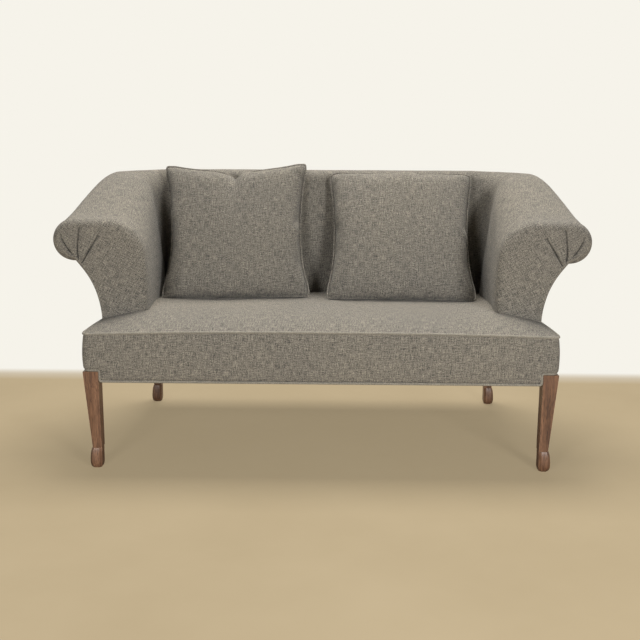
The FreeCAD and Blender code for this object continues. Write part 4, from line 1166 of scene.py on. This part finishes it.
def blow_up(piece):
    """Runs the cloth simulation on a piece and returns where its points end, in millimetres."""
    cloth = piece.modifiers.new("blow", "CLOTH")
    for key, value in CLOTH_SETTINGS.items():
        setattr(cloth.settings, key, value)
    cloth.settings.effector_weights.gravity = 0
    cloth.collision_settings.use_collision = False
    cloth.collision_settings.use_self_collision = False
    cloth.point_cache.frame_start = 1
    cloth.point_cache.frame_end = SIM_FRAMES
    for step in range(1, SIM_FRAMES + 1):
        bpy.context.scene.frame_set(step)
    ready = piece.evaluated_get(bpy.context.evaluated_depsgraph_get()).to_mesh()
    found = np.zeros(len(ready.vertices) * 3)
    ready.vertices.foreach_get("co", found)
    piece.modifiers.remove(cloth)
    bpy.context.scene.frame_set(1)
    return found.reshape(-1, 3) / MM


def shares(points, cells, axis):
    """Each point's place from -1 to 1 between the edges of its row (axis 0) or column (axis 2)."""
    step, line = (0, 1) if axis == 0 else (1, 0)
    first = cells[:, step] == 0
    last = cells[:, step] == PILLOW_CELLS[step]
    low = np.zeros(PILLOW_CELLS[line] + 1)
    high = np.zeros(PILLOW_CELLS[line] + 1)
    low[cells[first, line]] = points[first, axis]
    high[cells[last, line]] = points[last, axis]
    here = cells[:, line]
    return 2 * (points[:, axis] - low[here]) / (high[here] - low[here]) - 1


def crease_depth(a, b, creases):
    """Depth of the creases that run inward from a pillow's seam."""
    half = np.array([PILLOW_WIDTH, PILLOW_HEIGHT]) / 2
    place = np.stack([a, b], 1) * half
    depth = np.zeros(len(place))
    for start, end, deep, wide in creases:
        base = np.array(start) * half
        way = np.array(end) * half - base
        t = np.clip((place - base) @ way / (way @ way), 0, 1)
        gap = np.linalg.norm(place - base - t[:, None] * way, axis=1)
        depth = np.maximum(depth, deep * (1 - CREASE_FADE * t) * gauss(gap / wide))
    return depth


def ear_pull(spot, half):
    """How far a rounded corner draws the edge in, by a point's place along that edge."""
    near = np.clip(1 - (half - np.abs(spot)) / EAR, 0, 1)
    return EAR_DRAW * EAR * near ** 1.2


def tailored(points, cells, place):
    """Fits a blown pillow to its outline: sides drawn in between the corners, corners rounded, lower
    edge flat on the seat, top edge struck in; returns the points and the painted shade of their creases."""
    a = np.clip(shares(points, cells, 0), -1, 1)
    b = np.clip(shares(points, cells, 2), -1, 1)
    left, right, upper = place["draw"]
    hug = (1 - b * b) ** HUG_POWER * (1 - HUG_LEAN * b)
    half = PILLOW_WIDTH / 2 + LOWER_SPREAD * (1 - b) / 2 - np.where(a < 0, left, right) * hug
    out = points.copy()
    out[:, 0] = a * (half - ear_pull(b * PILLOW_HEIGHT / 2, PILLOW_HEIGHT / 2) * a * a)
    strike = np.exp(-np.abs(out[:, 0]) / STRIKE_REACH)
    top = place["height"] - upper * (1 - a * a) ** DIP_POWER - place["chop"] * strike
    out[:, 2] = top * (b + 1) / 2 - b ** 3 * ear_pull(a * PILLOW_WIDTH / 2, PILLOW_WIDTH / 2)
    out[:, 2] -= SINK * ((1 - b) / 2) ** 3
    blown = np.abs(points[:, 1]) / np.abs(points[:, 1]).max()
    crown = ((1 - a * a) * (1 - b * b)) ** CROWN_POWER
    thick = PILLOW_FULL / 2 * between(blown ** BLOWN_POWER, crown, CROWN_SHARE)
    thick *= FULLNESS - FULLNESS_LOSS * b
    thick *= 1 - STRIKE_THINNING * (place["chop"] > 0) * np.clip(b, 0, 1) ** 2 * strike
    crease = crease_depth(a, b, place["creases"]) * (points[:, 1] < 0)
    out[:, 1] = np.sign(points[:, 1]) * np.maximum(thick - crease, CREASE_FLOOR * thick)
    # painted shade in the creases, darker the deeper they are
    return out, crease / CREASE_SHADE


def standing(points, bottom, top):
    """Leans a pillow from its lower seam's middle towards its upper one."""
    bottom = Vector(bottom)
    up = (Vector(top) - bottom).normalized()
    across = Vector((1, 0, 0))
    across = (across - up * across.dot(up)).normalized()
    back = up.cross(across)
    turn = np.array([across, back, up]).T
    foot = np.array(bottom) + np.array(up) * (PILLOW_CORD + SEAM_GAP)
    return points @ turn.T + foot


deck_tree = BVHTree.FromPolygons(
    [v.co.copy() for v in deck.data.vertices],
    [tuple(face.vertices) for face in deck.data.polygons],
)


def pressed(points, clear):
    """Keeps points at least a given distance above the seat's cloth."""
    down = Vector((0, 0, -1))
    high = [deck_tree.ray_cast(Vector((p[0] * MM, p[1] * MM, 1)), down)[0].z / MM for p in points]
    out = points.copy()
    out[:, 2] = np.maximum(out[:, 2], np.array(high) + clear)
    return out


def make_pillow(name, place):
    points, cells, faces, weave, loop = sewn_sheets()
    piece = mesh_piece(name + "_cushion", points, faces, corner_uvs(faces, weave), np.zeros(len(points)))
    full = blow_up(piece)
    shaped, dark = tailored(full, cells, place)
    lying = pressed(standing(shaped, place["bottom"], place["top"]), REST_GAP)
    piece.data.vertices.foreach_set("co", (lying * MM).ravel())
    # painted shade in the pillow's creases
    piece.data.attributes["painted_shade_highlight"].data.foreach_set("value", dark.astype(np.float32))
    piece.data.update()
    middle = lying.mean(0)
    edge = lying[loop]
    edge = (np.roll(edge, 1, 0) + 2 * edge + np.roll(edge, -1, 0)) / 4
    outs = edge - middle
    edge = edge + unit(outs) * PILLOW_CORD * CORD_SEATING
    edge = pressed(edge, PILLOW_CORD + REST_GAP)
    cord = tube(name + "_cord", edge, PILLOW_CORD, outs, wear=0.0)
    subdivision = piece.modifiers.new("smooth", "SUBSURF")
    subdivision.levels = 1
    subdivision.render_levels = 1
    return piece, cord


# Materials, all made of nodes


class Maker:
    """Short ways to add nodes to a material or to the world."""

    def __init__(self, owner, first="Principled BSDF"):
        owner.use_nodes = True
        self.owner = owner
        self.tree = owner.node_tree
        self.shader = self.tree.nodes[first]

    def node(self, kind, **settings):
        made = self.tree.nodes.new(kind)
        for key, value in settings.items():
            setattr(made, key, value)
        return made

    def feed(self, made, inputs):
        """Links or sets a node's inputs and returns the node."""
        for key, value in inputs.items():
            if isinstance(value, bpy.types.NodeSocket):
                self.tree.links.new(value, made.inputs[key])
            else:
                made.inputs[key].default_value = value
        return made

    def place(self):
        return self.node("ShaderNodeTexCoord").outputs["Object"]

    def math(self, operation, a, b=0.0):
        made = self.node("ShaderNodeMath", operation=operation)
        return self.feed(made, {0: a, 1: b}).outputs[0]

    def blend(self, a, share_a, b, share_b):
        """Two values added in given shares."""
        return self.math("ADD", self.math("MULTIPLY", a, share_a), self.math("MULTIPLY", b, share_b))

    def wave(self, value):
        return self.math("SINE", self.math("MULTIPLY", value, math.pi))

    def noise(self, vector, scale, detail=2.0, roughness=0.5):
        """Noise of one scale, or of a scale for each direction."""
        if isinstance(scale, tuple):
            vector, scale = self.scaled(vector, scale), 1.0
        made = self.node("ShaderNodeTexNoise")
        self.feed(made, {"Vector": vector, "Scale": scale, "Detail": detail, "Roughness": roughness})
        return made.outputs["Fac"]

    def scaled(self, vector, scale):
        return self.feed(self.node("ShaderNodeMapping"), {"Vector": vector, "Scale": scale}).outputs[0]

    def swayed(self, vector, scale, detail, reach):
        """The place moved sideways by a little noise."""
        sway = self.node("ShaderNodeTexNoise")
        self.feed(sway, {"Vector": vector, "Scale": scale, "Detail": detail})
        made = self.node("ShaderNodeVectorMath", operation="MULTIPLY_ADD")
        return self.feed(made, {0: sway.outputs["Color"], 1: (reach, reach, 0), 2: vector}).outputs[0]

    def split(self, vector):
        return self.feed(self.node("ShaderNodeSeparateXYZ"), {0: vector}).outputs[:]

    def spread(self, value, at_low, at_high):
        """A value's middle range stretched to run from one number to another."""
        made = self.node("ShaderNodeMapRange")
        return self.feed(made, {0: value, 1: 0.3, 2: 0.7, 3: at_low, 4: at_high}).outputs[0]

    def ramp(self, value, stops):
        made = self.node("ShaderNodeValToRGB")
        row = made.color_ramp.elements
        while len(row) < len(stops):
            row.new(0.5)
        for element, (place, colour) in zip(row, stops):
            element.position = place
            element.color = (*colour, 1)
        return self.feed(made, {0: value}).outputs[0]

    def mix(self, factor, a, b, blend="MIX"):
        made = self.node("ShaderNodeMix", data_type="RGBA", blend_type=blend)
        a, b = [(*v, 1) if isinstance(v, tuple) else v for v in (a, b)]
        return self.feed(made, {0: factor, 6: a, 7: b}).outputs[2]

    def bump(self, height, distance, strength):
        made = self.node("ShaderNodeBump")
        return self.feed(made, {"Height": height, "Distance": distance, "Strength": strength}).outputs[0]

    def show(self, share, one, two, output):
        """Puts out one shader or another, by share."""
        both = self.node("ShaderNodeMixShader")
        self.feed(both, {0: share, 1: one.outputs[0], 2: two.outputs[0]})
        self.feed(self.tree.nodes[output], {"Surface": both.outputs[0]})


def srgb(r, g, b):
    """A colour written as it looks, from 0 to 255."""
    parts = [v / 255 for v in (r, g, b)]
    return tuple(v / 12.92 if v <= 0.04045 else ((v + 0.055) / 1.055) ** 2.4 for v in parts)


THREAD = 0.0021


def tweed(name):
    """A coarse plain weave of mixed grey and beige yarns with slubs and a soft uneven fade; painted shade
    darkens it in creases and a painted highlight lightens its cords.
    """
    m = Maker(bpy.data.materials.new(name))
    place = m.node("ShaderNodeUVMap", uv_map="weave").outputs[0]
    threads = m.scaled(m.swayed(place, 60.0, 1.0, 0.0014), (1 / THREAD, 1 / THREAD, 1))
    x, y, _ = m.split(threads)
    over = m.math("PINGPONG", m.math("ADD", m.math("FLOOR", x), m.math("FLOOR", y)), 1.0)
    warp = m.math("ABSOLUTE", m.wave(x))
    weft = m.math("ABSOLUTE", m.wave(y))
    height = m.blend(over, warp, m.math("SUBTRACT", 1.0, over), weft)
    upright = m.noise(threads, (0.95, 0.08, 1), 2.0, 0.6)
    level = m.noise(threads, (0.08, 0.95, 1), 2.0, 0.6)
    yarn = m.feed(m.node("ShaderNodeMix", data_type="FLOAT"), {0: over, 2: level, 3: upright})
    mottle = m.noise(threads, (0.62, 0.62, 1), 2.0, 0.7)
    tone = m.blend(yarn.outputs[0], 0.6, mottle, 0.4)
    stops = [
        (0.38, srgb(62, 60, 57)),
        (0.46, srgb(104, 100, 93)),
        (0.52, srgb(134, 128, 117)),
        (0.585, srgb(158, 151, 137)),
        (0.68, srgb(190, 182, 165)),
    ]
    colour = m.ramp(tone, stops)
    gap = m.ramp(height, [(0.0, (0.55, 0.55, 0.56)), (0.55, (1, 1, 1))])
    colour = m.mix(1.0, colour, gap, "MULTIPLY")
    fade = m.ramp(m.noise(m.place(), 3.2, 3.0), [(0.3, (0.93, 0.93, 0.94)), (0.7, (1.06, 1.05, 1.03))])
    colour = m.mix(1.0, colour, fade, "MULTIPLY")
    # Painted shade and highlight from the mesh attribute: above zero the cloth is darkened towards near
    # black in creases and pleat grooves, below zero it is lightened on the cords.
    painted_shade_highlight = m.node("ShaderNodeAttribute", attribute_name="painted_shade_highlight").outputs["Fac"]
    colour = m.mix(m.math("MULTIPLY", painted_shade_highlight, 0.85), colour, srgb(26, 25, 23))
    colour = m.mix(m.math("MULTIPLY", painted_shade_highlight, -1.0), colour, srgb(204, 196, 178))
    m.feed(m.shader, {
        "Base Color": colour,
        "Roughness": m.spread(tone, 0.96, 0.82),
        "Specular IOR Level": 0.25,
        "Sheen Weight": 0.12,
        "Sheen Roughness": 0.5,
        "Normal": m.bump(m.blend(height, 0.6, mottle, 0.8), 0.0009, 0.9),
    })
    return m.owner


def wood(name, dark, mid, light, worn):
    """Open-grained wood, its grain upright or along the piece, with dark pores and rubbed edges."""
    m = Maker(bpy.data.materials.new(name))
    place = m.place()
    bent = m.swayed(place, 9.0, 2.0, 0.012)
    grain = m.noise(bent, (190, 190, 7), 4.0, 0.62)
    pores = m.noise(bent, (720, 720, 30), 2.0, 0.6)
    broad = m.noise(bent, (38, 38, 3), 3.0, 0.5)
    colour = m.ramp(m.blend(grain, 0.55, broad, 0.45), [(0.34, dark), (0.5, mid), (0.66, light)])
    pore = m.ramp(pores, [(0.36, (0.28, 0.24, 0.22)), (0.47, (1, 1, 1))])
    colour = m.mix(0.85, colour, pore, "MULTIPLY")
    edge = m.feed(m.node("ShaderNodeBevel", samples=6), {"Radius": 0.0022})
    flat = m.node("ShaderNodeNewGeometry").outputs["Normal"]
    dot = m.node("ShaderNodeVectorMath", operation="DOT_PRODUCT")
    m.feed(dot, {0: edge.outputs[0], 1: flat})
    rub = m.ramp(dot.outputs["Value"], [(0.80, (1, 1, 1)), (0.985, (0, 0, 0))])
    chips = m.ramp(m.noise(place, 130.0, 3.0, 0.7), [(0.42, (0, 0, 0)), (0.62, (1, 1, 1))])
    wear = m.math("MULTIPLY", rub, chips)
    m.feed(m.shader, {
        "Base Color": m.mix(m.math("MULTIPLY", wear, 0.75), colour, worn),
        "Roughness": m.spread(grain, 0.52, 0.36),
        "Normal": m.bump(m.blend(pores, 0.7, grain, 0.4), 0.0007, 0.55),
    })
    return m.owner


def plain_weave(name, pitch, dark, light):
    """Burlap, webbing or dust cloth: a simple weave on object coordinates."""
    m = Maker(bpy.data.materials.new(name))
    place = m.place()
    x, y, z = m.split(m.scaled(place, (1 / pitch, 1 / pitch, 1 / pitch)))
    crossed = m.math("MULTIPLY", m.wave(x), m.wave(m.math("ADD", y, z)))
    weave = m.math("ABSOLUTE", crossed)
    tone = m.blend(weave, 0.4, m.noise(place, 0.6 / pitch, 3.0, 0.6), 0.6)
    m.feed(m.shader, {
        "Base Color": m.ramp(tone, [(0.25, dark), (0.75, light)]),
        "Roughness": 0.95,
        "Normal": m.bump(weave, 0.4 * pitch, 0.6),
    })
    return m.owner


def steel(name):
    m = Maker(bpy.data.materials.new(name))
    spots = m.noise(m.place(), 220.0, 4.0, 0.65)
    m.feed(m.shader, {
        "Base Color": m.ramp(spots, [(0.35, srgb(92, 90, 88)), (0.65, srgb(150, 149, 146))]),
        "Roughness": m.spread(spots, 0.55, 0.3),
        "Metallic": 1.0,
    })
    return m.owner


cloth_look = tweed("tweed")
LEG_TONES = ((70, 45, 31), (111, 78, 56), (142, 105, 79), (176, 142, 116))
FRAME_TONES = ((150, 118, 82), (184, 152, 110), (206, 178, 136), (214, 190, 152))
leg_look = wood("leg_wood", *[srgb(*tone) for tone in LEG_TONES])
frame_look = wood("frame_wood", *[srgb(*tone) for tone in FRAME_TONES])
burlap_look = plain_weave("burlap", 0.0028, srgb(104, 84, 56), srgb(172, 146, 104))
webbing_look = plain_weave("webbing", 0.0022, srgb(122, 100, 70), srgb(190, 168, 128))
dust_look = plain_weave("dust_cloth", 0.0012, srgb(22, 22, 23), srgb(52, 51, 52))
steel_look = steel("spring_steel")


def finish_with(piece, look):
    piece.data.materials.clear()
    piece.data.materials.append(look)


NODE_LOOKS = {
    "leg": leg_look,
    "burlap": burlap_look,
    "webbing": webbing_look,
    "springs": steel_look,
    "clips": steel_look,
    "screws": steel_look,
}
for name, node_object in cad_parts.items():
    finish_with(node_object, NODE_LOOKS.get(name.split("_")[-1], frame_look))
for name in ("front_left_leg", "front_right_leg", "rear_left_leg", "rear_right_leg"):
    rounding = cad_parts[name].modifiers.new("rounding", "BEVEL")
    rounding.width = 0.0018
    rounding.segments = 3
    rounding.limit_method = "ANGLE"
    rounding.angle_limit = math.radians(25)
    rounding.harden_normals = True


# What each piece rides on and stands for


def settle(piece, body, slot, look, *nodes):
    finish_with(piece, look)
    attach(piece, body)
    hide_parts(*nodes)


COVERS = (
    (left_arm, "left_arm_cover", "left_arm_facing", "left_arm_pad"),
    (right_arm, "right_arm_cover", "right_arm_facing", "right_arm_pad"),
    (inside_back, "inside_back_cover", "back_pad"),
    (left_outside, "left_outside_arm"),
    (right_outside, "right_outside_arm"),
    (outside_back, "outside_back_panel"),
    (deck, "seat_cover", "seat_pad"),
    (band_piece, "seat_band"),
    (piping, "seat_piping"),
    (welt, "bottom_welt"),
)
for piece, *nodes in COVERS:
    settle(piece, "settee", "upholstery", cloth_look, *nodes)
settle(dust, "settee", "dust_cloth", dust_look, "dust_cover")

for name, place in PILLOWS.items():
    cushion, cord = make_pillow(name, place)
    settle(cushion, name, "upholstery", cloth_look, name + "_cover", name + "_insert")
    settle(cord, name, "upholstery", cloth_look, name + "_welt")


# Stage: pale floor that fades into a white backdrop, soft lights, camera


BACKDROP = srgb(246, 243, 234)
FLOOR_LIT = srgb(193, 174, 140)
SHADOW_LIFT = 0.5


def floor_look():
    """A pale floor that turns into the white backdrop behind the settee; its shadow is lightened by a
    painted lit floor colour that glows for the camera.
    """
    m = Maker(bpy.data.materials.new("pale_floor"))
    place = m.place()
    cloud = m.noise(place, 1.6, 4.0, 0.6)
    m.feed(m.shader, {
        "Base Color": m.ramp(cloud, [(0.3, srgb(152, 137, 110)), (0.7, srgb(164, 149, 122))]),
        "Roughness": 0.75,
        "Specular IOR Level": 0.2,
    })
    depth = m.math("MULTIPLY", m.split(place)[1], 0.25)
    back = m.ramp(depth, [(0.160, (0, 0, 0)), (0.205, (1, 1, 1))])
    glow = m.feed(m.node("ShaderNodeEmission"), {"Color": m.mix(back, FLOOR_LIT, BACKDROP)})
    sight = m.node("ShaderNodeLightPath").outputs["Is Camera Ray"]
    # painted light: for camera rays at least half of the floor shows the glowing lit floor colour over its
    # shadow
    share = m.math("MULTIPLY", m.math("MAXIMUM", back, SHADOW_LIFT), sight)
    m.show(share, m.shader, glow, "Material Output")
    return m.owner


FLOOR_REACH = 14.0


def make_floor():
    mesh = bpy.data.meshes.new("floor")
    corners = [(x * FLOOR_REACH, y * FLOOR_REACH, 0) for x, y in ((-1, -1), (1, -1), (1, 1), (-1, 1))]
    mesh.from_pydata(corners, [], [(0, 1, 2, 3)])
    floor = link(bpy.data.objects.new("floor", mesh))
    floor.data.materials.append(floor_look())


def make_world():
    """Dim light all round; the camera and reflections see the backdrop's white instead."""
    m = Maker(bpy.data.worlds.new("studio"), "Background")
    bpy.context.scene.world = m.owner
    m.feed(m.shader, {"Color": (1.0, 0.985, 0.955, 1), "Strength": 0.04})
    seen = m.feed(m.node("ShaderNodeBackground"), {"Color": (*BACKDROP, 1)})
    path = m.node("ShaderNodeLightPath").outputs
    either = m.math("MAXIMUM", path["Is Camera Ray"], path["Is Glossy Ray"])
    m.show(either, m.shader, seen, "World Output")


def area_lamp(name, place, aim, size, power, colour):
    data = bpy.data.lights.new(name, "AREA")
    data.shape = "SQUARE"
    data.size = size
    data.energy = power
    data.color = colour
    lamp = link(bpy.data.objects.new(name, data))
    lamp.location = place
    lamp.rotation_euler = (Vector(aim) - Vector(place)).to_track_quat("-Z", "Y").to_euler()


SENSOR = 36.0
LENS = 52.43
CAMERA_PLACE = (0.0328, -3.0727, 0.9912)
CAMERA_RIGHT = (0.9999, 0.0141, 0.0047)
CAMERA_AHEAD = (-0.0120, 0.981, -0.1936)


def make_camera():
    data = bpy.data.cameras.new("camera")
    data.sensor_width = SENSOR
    data.lens = LENS
    camera = link(bpy.data.objects.new("camera", data))
    right = Vector(CAMERA_RIGHT).normalized()
    ahead = Vector(CAMERA_AHEAD).normalized()
    up = right.cross(ahead).normalized()
    turn = Matrix((right, up, -ahead)).transposed().to_4x4()
    camera.matrix_world = Matrix.Translation(CAMERA_PLACE) @ turn
    bpy.context.scene.camera = camera


make_floor()
make_world()
WARM = (1.0, 0.965, 0.90)
COOL = (0.98, 0.99, 1.0)
area_lamp("top_softbox", place=(0.0, 1.4, 4.6), aim=(0, -0.1, 0.45), size=2.4, power=318, colour=WARM)
area_lamp("left_softbox", place=(-1.2, -3.4, 1.3), aim=(0, 0, 0.45), size=0.8, power=50, colour=COOL)
area_lamp("right_softbox", place=(1.6, -3.3, 1.3), aim=(0, 0, 0.45), size=0.8, power=80, colour=COOL)
make_camera()
bpy.context.scene.view_settings.view_transform = "Standard"
